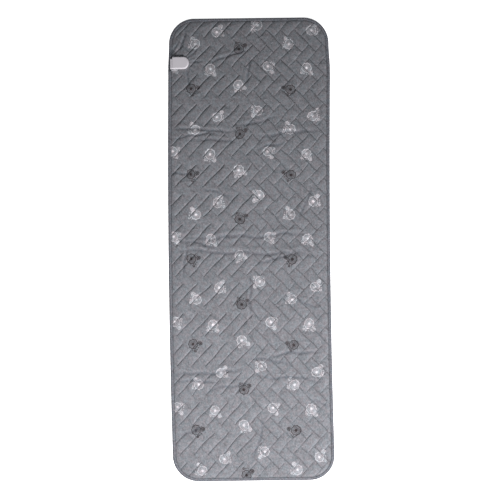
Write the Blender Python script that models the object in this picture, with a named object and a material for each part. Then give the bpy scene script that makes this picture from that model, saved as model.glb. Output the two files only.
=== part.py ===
"""Folding far-infrared heating mat with a moulded side connector.

Built as the real mat is: cloth, felt and wire layers in four panels that fold
on three lines, bound round the edge, with a screwed plastic socket housing.
Metres, +X across the mat, +Y towards the head end, +Z up, underside at Z = 0.
"""

import math

import bmesh
import bpy
from mathutils import Matrix

# Overall sizes
MAT_LENGTH = 1.80
MAT_WIDTH = 0.63
CORNER_RADIUS = 0.10
GAP = 0.0003
FOLD_CLEARANCE = 0.0006

# Cloth layers, from the underside up
BACKING_THICK = 0.0010
FELT_THICK = 0.0020
CARRIER_THICK = 0.0006
WIRE_SPACE = 0.0027
WADDING_THICK = 0.0022
COVER_THICK = 0.0010

# Edge binding tape
BINDING_WIDTH = 0.012
BINDING_THICK = 0.0008
BINDING_RAMP = 0.004

# Heating wire and leads
WIRE_DIAMETER = 0.0024
LEAD_DIAMETER = 0.0020
RUNS_PER_PANEL = 9
RUN_MARGIN = 0.060
RETURN_MARGIN = 0.0205
START_INSET = 0.175
LEAD_COLUMN = 0.115
LEAD_LIFT = 0.00035
RETURN_BEND_SHARE = 0.6
RETURN_TURN_SHARE = 0.3
SLEEVE_DIAMETER = 0.0026
SLEEVE_LENGTH = 0.014
CUTOUT_WIDTH = 0.0065
CUTOUT_LENGTH = 0.018
CUTOUT_THICK = 0.0025
SENSOR_LENGTH = 0.006

# Connector housing
CONNECTOR_FROM_HEAD = 0.1725
HOUSING_LENGTH = 0.0715
HOUSING_WIDTH = 0.0484
HOUSING_HEIGHT = 0.0162
HOUSING_EDGE = 0.010
NOSE_LENGTH = 0.021
COLLAR_LENGTH = 0.008
COLLAR_STEP = 0.0078
COLLAR_DROP = 0.0015
BEVEL = 0.005
COLLAR_BEVEL = 0.0025
COVER_WALL = 0.0022
BASE_WALL = 0.0018
BASE_FLOOR = 0.0012
TONGUE = 0.0022
NOTCH_CLEARANCE = 0.0005
NOTCH_SIDE = 0.0005

# Socket and what is wired to it
INSERT_DEPTH = 0.0155
INSERT_SIDE_GAP = 0.0006
INSERT_WALL = 0.0022
INSERT_ROOF_GAP = 0.0003
RECESS_DEPTH = 0.012
PIN_DIAMETER = 0.0030
PIN_RECESS = 0.005
PIN_TAIL = 0.004
LEAD_SIDE_GAP = 0.00075
PIN_COUNT = 3
CRIMP_LENGTH = 0.010
CRIMP_HEIGHT = 0.006
CRIMP_WIDTH_SHARE = 0.62
BOARD_LENGTH = 0.0140
BOARD_THICK = 0.0016
BOARD_SIDE = 0.0007
EXIT_PITCH = 0.005
EXIT_CLEARANCE = 0.0003
CLAMP_LENGTH = 0.0055
CLAMP_THICK = 0.002
CLAMP_END = 0.0022
CLAMP_BACK = 0.00575
CLAMP_BOSS_RADIUS = 0.0019

# Screws
SCREW_RADIUS = 0.0010
SCREW_HEAD_RADIUS = 0.0020
SCREW_HEAD_HEIGHT = 0.0013
SCREW_CLEARANCE = 0.0003
BASE_BOSS_RADIUS = 0.0032
BASE_BOSS_HEIGHT = 0.0048
COVER_BOSS_RADIUS = 0.0028
SCREW_GRIP = 0.005
COUNTERBORE = 0.0018
REAR_SCREW_BACK = 0.017
FRONT_SCREW_AHEAD = 0.0065
FRONT_BOSS_GAP = 0.00155
CLAMP_SCREW_RADIUS = 0.0008
CLAMP_HEAD_RADIUS = 0.0016
CLAMP_HEAD_HEIGHT = 0.001
HEAD_EDGE_SHARE = 0.8
HEAD_SIDE_SHARE = 0.7
TIP_SHARE = 1 / 3
HEAD_STEP = GAP / 10

# Roundness
CORNER_STEPS = 14
NOSE_STEPS = 20
BEVEL_STEPS = 4
TUBE_SIDES = 8
TURN_STEPS = 8
BEND_STEPS = 4
ROUND_SIDES = 20
FASTENER_SIDES = 16
EXIT_SIDES = 12
BEND_REACH_SHARE = 0.45
SMOOTH_ANGLE = 40
OVERRUN = 0.001

# Heights that follow from the layers
FELT_LOW = BACKING_THICK + GAP
CARRIER_LOW = FELT_LOW + FELT_THICK + GAP
WIRE_LOW = CARRIER_LOW + CARRIER_THICK + GAP
WADDING_LOW = WIRE_LOW + WIRE_SPACE + GAP
COVER_LOW = WADDING_LOW + WADDING_THICK + GAP
COVER_TOP = COVER_LOW + COVER_THICK
BINDING_TOP = COVER_TOP + GAP + BINDING_THICK
BINDING_DIP = BACKING_THICK + 2 * BINDING_THICK
HEATER_Z = WIRE_LOW + WIRE_DIAMETER / 2
BASE_LOW = CARRIER_LOW
FLOOR_TOP = BASE_LOW + BASE_FLOOR
HOUSING_TOP = BASE_LOW + HOUSING_HEIGHT
LID_LOW = COVER_TOP + GAP
LID_ROOF = HOUSING_TOP - COVER_WALL
COLLAR_TOP = HOUSING_TOP - COLLAR_DROP
LEAD_Z = FLOOR_TOP + LEAD_DIAMETER / 2 + LEAD_LIFT
SLEEVE_Z = (LEAD_Z + HEATER_Z) / 2

# Places that follow from the overall sizes
HALF_WIDTH = MAT_WIDTH / 2
HALF_LENGTH = MAT_LENGTH / 2
PANEL_LENGTH = MAT_LENGTH / 4
LAYER_INSET = BINDING_THICK + GAP
BACKING_INSET = BINDING_WIDTH + GAP
RUN_PITCH = PANEL_LENGTH / RUNS_PER_PANEL
RUN_LIMIT = HALF_WIDTH - RUN_MARGIN
RETURN_X = -HALF_WIDTH + RETURN_MARGIN
START_X = -HALF_WIDTH + START_INSET
LEAD_X = -HALF_WIDTH + LEAD_COLUMN
CONNECTOR_Y = HALF_LENGTH - CONNECTOR_FROM_HEAD
SOCKET_X = -HALF_WIDTH + HOUSING_EDGE
BODY_X = SOCKET_X + COLLAR_LENGTH
NOSE_X = SOCKET_X + HOUSING_LENGTH - NOSE_LENGTH
LIP = COVER_WALL + GAP
CAVITY_INSET = LIP + BASE_WALL
DIP_HALF = HOUSING_WIDTH / 2 + NOTCH_SIDE
EDGE_NOTCH_HALF = DIP_HALF + BINDING_RAMP + GAP
EDGE_NOTCH_X = -HALF_WIDTH + BINDING_WIDTH + GAP
TONGUE_TOP = LID_LOW + TONGUE
LID_STRAIGHT = HOUSING_TOP - BEVEL
PANELS = ("head", "upper", "lower", "foot")

# The fold lines' hinge axes: each stack that is folded over clears what it lies on
HEAD_FOLD_Z = (BINDING_TOP + HOUSING_TOP + FOLD_CLEARANCE) / 2
FOOT_FOLD_Z = BINDING_TOP + FOLD_CLEARANCE / 2
MIDDLE_FOLD_Z = HEAD_FOLD_Z + FOOT_FOLD_Z + FOLD_CLEARANCE / 2

# The socket insert and its contacts
INSERT_LOW_Y = CONNECTOR_Y - HOUSING_WIDTH / 2 + CAVITY_INSET + INSERT_SIDE_GAP
INSERT_HIGH_Y = CONNECTOR_Y + HOUSING_WIDTH / 2 - COLLAR_STEP - CAVITY_INSET - INSERT_SIDE_GAP
INSERT_WIDTH = INSERT_HIGH_Y - INSERT_LOW_Y
INSERT_MID_Y = (INSERT_LOW_Y + INSERT_HIGH_Y) / 2
INSERT_LOW = FLOOR_TOP + GAP
INSERT_HIGH = COLLAR_TOP - 2 * BINDING_THICK - INSERT_ROOF_GAP
INSERT_END_X = SOCKET_X + INSERT_DEPTH
PIN_Z = (INSERT_LOW + INSERT_HIGH) / 2
REAR_SCREW_Y = HOUSING_WIDTH / 2 - CAVITY_INSET - BASE_BOSS_RADIUS
FRONT_SCREW_Y = EXIT_PITCH + LEAD_DIAMETER / 2 + FRONT_BOSS_GAP + BASE_BOSS_RADIUS
LEAD_LIMIT_Y = REAR_SCREW_Y - BASE_BOSS_RADIUS - LEAD_SIDE_GAP - LEAD_DIAMETER / 2
PIN_PITCH = 2 * (LEAD_LIMIT_Y - CONNECTOR_Y + INSERT_MID_Y) / (PIN_COUNT - 1)
PIN_END_X = INSERT_END_X + PIN_TAIL
CRIMP_X = PIN_END_X + GAP
CRIMP_WIDTH = PIN_PITCH * CRIMP_WIDTH_SHARE
BOARD_X = INSERT_END_X + GAP
BOARD_TOP = FLOOR_TOP + GAP + BOARD_THICK
CRIMP_LOW = BOARD_TOP + GAP
LEAD_START_X = CRIMP_X + CRIMP_LENGTH + GAP
LEAD_START_Z = CRIMP_LOW + CRIMP_HEIGHT / 3
CLAMP_X = NOSE_X - CLAMP_BACK
CLAMP_LOW = LEAD_Z + LEAD_DIAMETER / 2 + GAP
CLAMP_SCREW_Y = EXIT_PITCH + LEAD_DIAMETER / 2 + 2 * GAP + CLAMP_BOSS_RADIUS


def ring(points, z):
    """Points (x, y) as one level loop at height z."""
    return [(x, y, z) for x, y in points]


def loft(name, rings):
    """One closed body through loops that all have the same number of points."""
    shape = bmesh.new()
    rows = [[shape.verts.new(point) for point in loop] for loop in rings]
    count = len(rows[0])
    for low, high in zip(rows, rows[1:]):
        for i in range(count):
            j = (i + 1) % count
            shape.faces.new((low[i], low[j], high[j], high[i]))
    shape.faces.new(list(reversed(rows[0])))
    shape.faces.new(rows[-1])
    bmesh.ops.recalc_face_normals(shape, faces=shape.faces)
    mesh = bpy.data.meshes.new(name)
    shape.to_mesh(mesh)
    shape.free()
    made = bpy.data.objects.new(name, mesh)
    bpy.context.scene.collection.objects.link(made)
    return made


def plate(name, outline, low, high):
    """A flat sheet with the given outline, from height low to high."""
    return loft(name, [ring(outline, low), ring(outline, high)])


def block(name, low, high):
    """A box between two opposite corners."""
    (x0, y0, z0), (x1, y1, z1) = low, high
    return plate(name, [(x0, y0), (x1, y0), (x1, y1), (x0, y1)], z0, z1)


def circle(x, y, radius, sides=ROUND_SIDES):
    """A round loop of (x, y) points."""
    turns = [2 * math.pi * i / sides for i in range(sides)]
    return [(x + radius * math.cos(t), y + radius * math.sin(t)) for t in turns]


def rod(name, x, y, radius, low, high):
    """An upright cylinder."""
    return plate(name, circle(x, y, radius), low, high)


def tube(name, path, radius, sides=TUBE_SIDES):
    """A solid round body along a path that is never vertical."""
    rings = []
    last = len(path) - 1
    for i, (x, y, z) in enumerate(path):
        before, after = path[max(i - 1, 0)], path[min(i + 1, last)]
        along = [b - a for a, b in zip(before, after)]
        size = math.hypot(along[0], along[1])
        length = math.hypot(size, along[2])
        side = (along[1] / size, -along[0] / size)
        up = (-along[0] * along[2] / size / length, -along[1] * along[2] / size / length, size / length)
        loop = []
        for k in range(sides):
            turn = 2 * math.pi * (k + 0.5) / sides
            across, rise = radius * math.cos(turn), radius * math.sin(turn)
            out_x = across * side[0] + rise * up[0]
            out_y = across * side[1] + rise * up[1]
            loop.append((x + out_x, y + out_y, z + rise * up[2]))
        rings.append(loop)
    return loft(name, rings)


def rounded(points, radius):
    """A path through points with each inner corner turned on a curve."""
    path = [points[0]]
    for before, corner, after in zip(points, points[1:], points[2:]):
        reach = [min(radius, math.dist(corner, end) * BEND_REACH_SHARE) for end in (before, after)]
        start = [c + (b - c) * reach[0] / math.dist(corner, before) for c, b in zip(corner, before)]
        end = [c + (a - c) * reach[1] / math.dist(corner, after) for c, a in zip(corner, after)]
        for k in range(BEND_STEPS + 1):
            t = k / BEND_STEPS
            weights = ((1 - t) ** 2, 2 * t * (1 - t), t * t)
            around = zip(start, corner, end)
            path.append(tuple(sum(w * part for w, part in zip(weights, parts)) for parts in around))
    path.append(points[-1])
    return path


def combine(target, other, operation):
    """Join other to target, or cut it away, and remove other."""
    other.hide_render = True
    other.display_type = "WIRE"
    step = target.modifiers.new("step", "BOOLEAN")
    step.operation = operation
    step.solver = "EXACT"
    step.object = other
    bpy.context.view_layer.update()
    found = target.evaluated_get(bpy.context.evaluated_depsgraph_get())
    mesh = bpy.data.meshes.new_from_object(found)
    target.modifiers.clear()
    old = target.data
    target.data = mesh
    bpy.data.meshes.remove(old)
    bpy.data.objects.remove(other)


def cut(target, cutter):
    """Take cutter away from target."""
    combine(target, cutter, "DIFFERENCE")


def join(target, other):
    """Make other part of target."""
    combine(target, other, "UNION")


def finish(made, colour, roughness, metallic=0.0, smooth=False):
    """Give a piece its own material, and smooth shading where it is round."""
    material = bpy.data.materials.new("finish_" + made.name)
    material.use_nodes = True
    shader = material.node_tree.nodes["Principled BSDF"]
    shader.inputs["Base Color"].default_value = (*colour, 1.0)
    shader.inputs["Roughness"].default_value = roughness
    shader.inputs["Metallic"].default_value = metallic
    made.data.materials.clear()
    made.data.materials.append(material)
    if smooth:
        made.data.shade_smooth()
        made.data.set_sharp_from_angle(angle=math.radians(SMOOTH_ANGLE))
    return made


COVER_GREY = (0.24, 0.25, 0.27)
BINDING_GREY = (0.20, 0.21, 0.23)
BACKING_GREY = (0.16, 0.17, 0.18)
FELT_WHITE = (0.78, 0.77, 0.74)
CARRIER_WHITE = (0.86, 0.86, 0.84)
WADDING_WHITE = (0.92, 0.92, 0.90)
HEATER_CREAM = (0.80, 0.76, 0.66)
LEAD_BROWN = (0.24, 0.12, 0.06)
LEAD_BLUE = (0.06, 0.14, 0.42)
LEAD_WHITE = (0.85, 0.85, 0.85)
HOUSING_GREY = (0.56, 0.55, 0.59)
INSERT_BLACK = (0.05, 0.05, 0.055)
CONTACT_METAL = (0.80, 0.78, 0.70)
CRIMP_TIN = (0.72, 0.72, 0.72)
BOARD_TAN = (0.45, 0.34, 0.18)
SCREW_STEEL = (0.60, 0.60, 0.62)
SLEEVE_BLACK = (0.07, 0.07, 0.07)
CUTOUT_WHITE = (0.70, 0.69, 0.62)


def panel_span(index):
    """The low and high ends of a panel's cloth along Y, clear of its folds."""
    high = HALF_LENGTH - index * PANEL_LENGTH
    low = high - PANEL_LENGTH
    return (low if index == 3 else low + GAP), (high if index == 0 else high - GAP)


def end_stations(fold_y, sign):
    """Points round an end panel's edge with their inward directions, from its -X fold to its +X fold."""
    stations = [(-HALF_WIDTH, fold_y, 1.0, 0.0)]
    for side in (-1, 1):
        centre_x = side * (HALF_WIDTH - CORNER_RADIUS)
        centre_y = HALF_LENGTH - CORNER_RADIUS
        for k in range(CORNER_STEPS + 1):
            share = k / CORNER_STEPS
            turn = math.pi * (1 - share / 2) if side < 0 else math.pi * (1 - share) / 2
            out_x, out_y = math.cos(turn), math.sin(turn) * sign
            at_x = centre_x + CORNER_RADIUS * out_x
            stations.append((at_x, sign * centre_y + CORNER_RADIUS * out_y, -out_x, -out_y))
    stations.append((HALF_WIDTH, fold_y, -1.0, 0.0))
    return stations


def inset_outline(stations, inset):
    """The outline a distance inside the stations."""
    return [(x + in_x * inset, y + in_y * inset) for x, y, in_x, in_y in stations]


def layer_outline(index, inset):
    """A layer's outline in one panel."""
    low, high = panel_span(index)
    if index == 0:
        return inset_outline(end_stations(low, 1), inset)
    if index == 3:
        return inset_outline(end_stations(high, -1), inset)
    across = HALF_WIDTH - inset
    return [(-across, low), (-across, high), (across, high), (across, low)]


def nose_points(half, length):
    """The housing's round end, from one long side to the other."""
    points = []
    for k in range(NOSE_STEPS + 1):
        turn = math.pi * (k / NOSE_STEPS - 0.5)
        points.append((NOSE_X + length * math.cos(turn), CONNECTOR_Y + half * math.sin(turn)))
    return points


def edge_notch(edge_x):
    """The notch that clears the lowered binding beside the housing."""
    low, high = CONNECTOR_Y - EDGE_NOTCH_HALF, CONNECTOR_Y + EDGE_NOTCH_HALF
    return [(edge_x, low), (EDGE_NOTCH_X, low), (EDGE_NOTCH_X, high), (edge_x, high)]


def housing_notch(edge_x):
    """The window that the housing's lower half stands in, open at the mat's edge."""
    points = edge_notch(edge_x)
    grow = NOTCH_CLEARANCE - LIP
    half = HOUSING_WIDTH / 2 + grow
    window = [(EDGE_NOTCH_X, CONNECTOR_Y - half)]
    window += nose_points(half, NOSE_LENGTH + grow)
    window.append((EDGE_NOTCH_X, CONNECTOR_Y + half))
    return points[:2] + window + points[2:]


def with_notch(outline, notch):
    """The head outline with a notch let into its -X edge, after its first point."""
    return outline[:1] + notch + outline[1:]


def build_layers():
    """The five cloth and felt layers of each panel."""
    edge_x = -HALF_WIDTH + LAYER_INSET
    for index, panel in enumerate(PANELS):
        wide = layer_outline(index, LAYER_INSET)
        felt = with_notch(wide, edge_notch(edge_x)) if index == 0 else wide
        open_wide = with_notch(wide, housing_notch(edge_x)) if index == 0 else wide
        backing = plate("backing_" + panel, layer_outline(index, BACKING_INSET), 0.0, BACKING_THICK)
        finish(backing, BACKING_GREY, 0.95)
        finish(plate("insulation_felt_" + panel, felt, FELT_LOW, FELT_LOW + FELT_THICK), FELT_WHITE, 0.95)
        carrier = plate("wire_carrier_" + panel, open_wide, CARRIER_LOW, CARRIER_LOW + CARRIER_THICK)
        finish(carrier, CARRIER_WHITE, 0.9)
        wadding = plate("wadding_" + panel, open_wide, WADDING_LOW, WADDING_LOW + WADDING_THICK)
        finish(wadding, WADDING_WHITE, 0.95)
        finish(plate("quilted_cover_" + panel, open_wide, COVER_LOW, COVER_TOP), COVER_GREY, 0.9)


def binding(name, stations, tops):
    """A folded tape round an edge, as tall at each station as tops says."""
    rings = []
    for (x, y, in_x, in_y), top in zip(stations, tops):
        profile = [
            (0.0, 0.0),
            (BINDING_WIDTH, 0.0),
            (BINDING_WIDTH, BACKING_THICK),
            (BINDING_THICK, BACKING_THICK),
            (BINDING_THICK, top - BINDING_THICK),
            (BINDING_WIDTH, top - BINDING_THICK),
            (BINDING_WIDTH, top),
            (0.0, top),
        ]
        rings.append([(x + in_x * across, y + in_y * across, z) for across, z in profile])
    return finish(loft(name, rings), BINDING_GREY, 0.9)


def build_bindings():
    """The edge tape of each panel, pressed flat where it passes the housing."""
    stations = end_stations(panel_span(0)[0], 1)
    offsets = (-DIP_HALF - BINDING_RAMP, -DIP_HALF, DIP_HALF, DIP_HALF + BINDING_RAMP)
    dip = [(-HALF_WIDTH, CONNECTOR_Y + offset, 1.0, 0.0) for offset in offsets]
    tops = [BINDING_TOP, BINDING_TOP, BINDING_DIP, BINDING_DIP, BINDING_TOP]
    stations = stations[:1] + dip + stations[1:]
    tops += [BINDING_TOP] * (len(stations) - len(tops))
    binding("edge_binding_head", stations, tops)
    stations = end_stations(panel_span(3)[1], -1)
    binding("edge_binding_foot", stations, [BINDING_TOP] * len(stations))
    for index in (1, 2):
        low, high = panel_span(index)
        for side, word in ((-1, "left"), (1, "right")):
            strip = [(side * HALF_WIDTH, y, -side, 0.0) for y in (low, high)]
            binding(f"edge_binding_{PANELS[index]}_{word}", strip, [BINDING_TOP, BINDING_TOP])


def run_y(run):
    """The place along Y of one of the heating wire's runs across the mat."""
    return HALF_LENGTH - (run + 0.5) * RUN_PITCH


def turn_points(x, y, side, first, last):
    """Part of a half-circle turn between two runs, centred on (x, y), on one side of the mat."""
    radius = RUN_PITCH / 2
    points = []
    for k in range(first, last + 1):
        turn = math.pi * (0.5 - k / TURN_STEPS)
        points.append((x + side * radius * math.cos(turn), y + radius * math.sin(turn)))
    return points


def turn_x(run, side):
    """How far across the mat the turn after a run stands: short beside the connector."""
    if side < 0 and run in (1, 3):
        return START_X
    return side * RUN_LIMIT


def heater_path(index):
    """The heating wire's path through one panel, as (x, y) points from its head side."""
    low, high = panel_span(index)
    first = index * RUNS_PER_PANEL
    last = first + RUNS_PER_PANEL - 1
    half = TURN_STEPS // 2
    points = []
    for run in range(first, last + 1):
        side = 1 if run % 2 == 0 else -1
        if run == first and index > 0:
            entry = turn_points(turn_x(run - 1, -side), high + GAP, -side, half, TURN_STEPS)
            points += [(entry[0][0], high)] + entry[1:]
        if run < last:
            points += turn_points(turn_x(run, side), run_y(run) - RUN_PITCH / 2, side, 0, TURN_STEPS)
        elif index < 3:
            leaving = turn_points(turn_x(run, side), low - GAP, side, 0, half)
            points += leaving[:-1] + [(leaving[-1][0], low)]
    return points


def build_heaters():
    """The heating wire in each panel, and the return wire along the -X edge."""
    head_start = [(LEAD_X, splice_ends(1)[1] + GAP), (LEAD_X, run_y(0)), (START_X, run_y(0))]
    starts = rounded([(x, y, HEATER_Z) for x, y in head_start], RUN_PITCH / 2)
    for index, panel in enumerate(PANELS):
        path = [(x, y, HEATER_Z) for x, y in heater_path(index)]
        if index == 0:
            path = starts + path
        if index == 3:
            bottom = run_y(4 * RUNS_PER_PANEL - 1)
            corner = (RETURN_X, bottom, HEATER_Z)
            back = [(START_X, bottom, HEATER_Z), corner, (RETURN_X, panel_span(3)[1], HEATER_Z)]
            path += rounded(back, CORNER_RADIUS * RETURN_BEND_SHARE)
        finish(tube("heating_wire_" + panel, path, WIRE_DIAMETER / 2), HEATER_CREAM, 0.6, smooth=True)
    for index in (1, 2):
        low, high = panel_span(index)
        path = [(RETURN_X, low, HEATER_Z), (RETURN_X, high, HEATER_Z)]
        finish(tube("return_wire_" + PANELS[index], path, WIRE_DIAMETER / 2), HEATER_CREAM, 0.6, smooth=True)
    turn_y = return_turn_y()
    corners = [
        (RETURN_X, panel_span(0)[0]),
        (RETURN_X, turn_y),
        (LEAD_X, turn_y),
        (LEAD_X, splice_ends(-1)[0] - GAP),
    ]
    path = rounded([(x, y, HEATER_Z) for x, y in corners], RUN_PITCH / 4)
    finish(tube("return_wire_head", path, WIRE_DIAMETER / 2), HEATER_CREAM, 0.6, smooth=True)


def return_turn_y():
    """Where the return wire leaves the mat's edge for the connector."""
    return run_y(5) + RETURN_TURN_SHARE * RUN_PITCH


def cutout_ends(side):
    """The ends along Y of the thermal cut-out on one side of the connector."""
    near = CONNECTOR_Y + side * (EXIT_PITCH + CUTOUT_LENGTH)
    return tuple(sorted((near, near + side * CUTOUT_LENGTH)))


def splice_ends(side):
    """The ends along Y of the splice sleeve beyond a cut-out."""
    inner = cutout_ends(side)[1] + GAP if side > 0 else cutout_ends(side)[0] - GAP
    return tuple(sorted((inner, inner + side * SLEEVE_LENGTH)))


def capsule(x, low, high, width):
    """A flat body's outline with rounded ends, along Y."""
    radius = width / 2
    points = []
    for k in range(TURN_STEPS + 1):
        turn = math.pi * k / TURN_STEPS
        points.append((x + radius * math.cos(turn), high - radius + radius * math.sin(turn)))
    for k in range(TURN_STEPS + 1):
        turn = math.pi * (1 + k / TURN_STEPS)
        points.append((x + radius * math.cos(turn), low + radius + radius * math.sin(turn)))
    return points


def pin_y(number):
    """A contact's place along Y, numbered from the foot side."""
    return INSERT_MID_Y + (number - (PIN_COUNT - 1) / 2) * PIN_PITCH


def lead_path(number, ends):
    """A lead's path from its crimp, under the clamp and out of the housing, then through ends."""
    exit_y = CONNECTOR_Y + (number - 1) * EXIT_PITCH
    down_x = CLAMP_X - CLAMP_LENGTH
    corners = [
        (LEAD_START_X, pin_y(number), LEAD_START_Z),
        (LEAD_START_X + 2 * LEAD_DIAMETER, pin_y(number), LEAD_START_Z),
        (down_x, exit_y, LEAD_Z),
    ]
    corners += [(x, y, LEAD_Z) for x, y in ends]
    return rounded(corners, 2 * LEAD_DIAMETER)


def build_leads():
    """The cold leads, sensor lead, thermal cut-outs, splice sleeves and sensor bead."""
    radius = LEAD_DIAMETER / 2
    for side, number, word, colour in ((1, 2, "live", LEAD_BROWN), (-1, 0, "neutral", LEAD_BLUE)):
        near = cutout_ends(side)[0] - GAP if side > 0 else cutout_ends(side)[1] + GAP
        path = lead_path(number, [(LEAD_X, CONNECTOR_Y + side * EXIT_PITCH), (LEAD_X, near)])
        finish(tube("cold_lead_" + word, path, radius), colour, 0.5, smooth=True)
        low, high = cutout_ends(side)
        outline = capsule(LEAD_X, low, high, CUTOUT_WIDTH)
        bottom = SLEEVE_Z - CUTOUT_THICK / 2
        finish(plate("thermal_cutout_" + word, outline, bottom, bottom + CUTOUT_THICK), CUTOUT_WHITE, 0.5)
        low, high = splice_ends(side)
        path = [(LEAD_X, low, SLEEVE_Z), (LEAD_X, high, SLEEVE_Z)]
        sleeve = tube("splice_sleeve_" + word, path, SLEEVE_DIAMETER / 2)
        finish(sleeve, SLEEVE_BLACK, 0.6, smooth=True)
    bead_x = LEAD_X + CUTOUT_WIDTH
    finish(tube("sensor_lead", lead_path(1, [(bead_x, CONNECTOR_Y)]), radius), LEAD_WHITE, 0.5, smooth=True)
    bead = [(bead_x + GAP, CONNECTOR_Y, SLEEVE_Z), (bead_x + GAP + SENSOR_LENGTH, CONNECTOR_Y, SLEEVE_Z)]
    finish(tube("sensor_bead", bead, SLEEVE_DIAMETER / 2), SLEEVE_BLACK, 0.3, smooth=True)


def dee(inset, left_x):
    """The housing body's outline: a straight end at left_x and a round nose, set in all round but there."""
    half = HOUSING_WIDTH / 2 - inset
    outline = [(left_x, CONNECTOR_Y - half)]
    outline += nose_points(half, NOSE_LENGTH - inset)
    outline.append((left_x, CONNECTOR_Y + half))
    return outline


def housing_outline(inset, left_x):
    """The housing's whole outline with its narrower socket collar."""
    collar_y = CONNECTOR_Y + HOUSING_WIDTH / 2 - COLLAR_STEP - inset
    outline = [(left_x, CONNECTOR_Y - HOUSING_WIDTH / 2 + inset)]
    outline += dee(inset, BODY_X + inset)[1:]
    outline += [(BODY_X + inset, collar_y), (left_x, collar_y)]
    return outline


def screw_places():
    """The four housing screws' places."""
    places = [(NOSE_X - REAR_SCREW_BACK, CONNECTOR_Y + side * REAR_SCREW_Y) for side in (-1, 1)]
    places += [(NOSE_X + FRONT_SCREW_AHEAD, CONNECTOR_Y + side * FRONT_SCREW_Y) for side in (-1, 1)]
    return places


def insert_passage(low, high):
    """A box that clears the socket insert by the gap, through the housing's end."""
    return block(
        "cutter",
        (SOCKET_X - OVERRUN, INSERT_LOW_Y - GAP, low),
        (BODY_X + COVER_WALL + OVERRUN, INSERT_HIGH_Y + GAP, high),
    )


def build_base():
    """The housing's lower half: a tray with screw bosses, clamp bosses and lead exits."""
    base = plate("connector_base", housing_outline(LIP, SOCKET_X), BASE_LOW, TONGUE_TOP)
    hollow = housing_outline(CAVITY_INSET, SOCKET_X + BASE_WALL)
    cut(base, plate("cutter", hollow, FLOOR_TOP, TONGUE_TOP + OVERRUN))
    half = HOUSING_WIDTH / 2
    end_low = (SOCKET_X - OVERRUN, CONNECTOR_Y - half, COVER_TOP)
    end_high = (BODY_X + COVER_WALL + GAP, CONNECTOR_Y + half, TONGUE_TOP + OVERRUN)
    cut(base, block("cutter", end_low, end_high))
    cut(base, insert_passage(INSERT_LOW - GAP, COVER_TOP + OVERRUN))
    boss_top = BASE_LOW + BASE_BOSS_HEIGHT
    hole = SCREW_RADIUS + SCREW_CLEARANCE
    head_hole = SCREW_HEAD_RADIUS + SCREW_CLEARANCE
    for x, y in screw_places():
        join(base, rod("boss", x, y, BASE_BOSS_RADIUS, BASE_LOW + BASE_FLOOR / 2, boss_top))
        cut(base, rod("cutter", x, y, hole, BASE_LOW - OVERRUN, boss_top + OVERRUN))
        cut(base, rod("cutter", x, y, head_hole, BASE_LOW - OVERRUN, BASE_LOW + COUNTERBORE))
    for side in (-1, 1):
        y = CONNECTOR_Y + side * CLAMP_SCREW_Y
        top = CLAMP_LOW - GAP
        join(base, rod("boss", CLAMP_X, y, CLAMP_BOSS_RADIUS, BASE_LOW + BASE_FLOOR / 2, top))
        cut(base, rod("cutter", CLAMP_X, y, CLAMP_SCREW_RADIUS + SCREW_CLEARANCE, FLOOR_TOP, top + OVERRUN))
    for number in range(PIN_COUNT):
        y = CONNECTOR_Y + (number - 1) * EXIT_PITCH
        start = (NOSE_X + NOSE_LENGTH / 2, y, LEAD_Z)
        path = [start, (NOSE_X + NOSE_LENGTH + OVERRUN, y, LEAD_Z)]
        cut(base, tube("cutter", path, LEAD_DIAMETER / 2 + EXIT_CLEARANCE, sides=EXIT_SIDES))
    finish(base, HOUSING_GREY, 0.35, smooth=True)


def build_lid():
    """The housing's upper half: a bevelled shell with a lower socket collar and four screw posts."""
    rings = [ring(dee(0.0, BODY_X), LID_LOW), ring(dee(0.0, BODY_X), LID_STRAIGHT)]
    for k in range(1, BEVEL_STEPS + 1):
        turn = math.pi / 2 * k / BEVEL_STEPS
        inset, rise = BEVEL * (1 - math.cos(turn)), BEVEL * math.sin(turn)
        rings.append(ring(dee(inset, BODY_X), LID_STRAIGHT + rise))
    lid = loft("connector_lid", rings)
    low_y = CONNECTOR_Y - HOUSING_WIDTH / 2
    high_y = CONNECTOR_Y + HOUSING_WIDTH / 2 - COLLAR_STEP
    inner_x = BODY_X + COVER_WALL / 2
    rings = []
    for inset, z in ((0.0, LID_LOW), (0.0, COLLAR_TOP - COLLAR_BEVEL), (COLLAR_BEVEL, COLLAR_TOP)):
        outline = [
            (SOCKET_X, low_y + inset),
            (inner_x, low_y + inset),
            (inner_x, high_y - inset),
            (SOCKET_X, high_y - inset),
        ]
        rings.append(ring(outline, z))
    join(lid, loft("collar", rings))
    cut(lid, plate("cutter", dee(COVER_WALL, BODY_X + COVER_WALL), LID_LOW - OVERRUN, LID_ROOF))
    cut(lid, insert_passage(LID_LOW - OVERRUN, INSERT_HIGH + GAP))
    post_low = BASE_LOW + BASE_BOSS_HEIGHT + GAP
    hole = SCREW_RADIUS + SCREW_CLEARANCE
    for x, y in screw_places():
        join(lid, rod("post", x, y, COVER_BOSS_RADIUS, post_low, LID_ROOF + COVER_WALL / 2))
        cut(lid, rod("cutter", x, y, hole, post_low - OVERRUN, post_low + SCREW_GRIP + GAP))
    finish(lid, HOUSING_GREY, 0.35, smooth=True)


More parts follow.
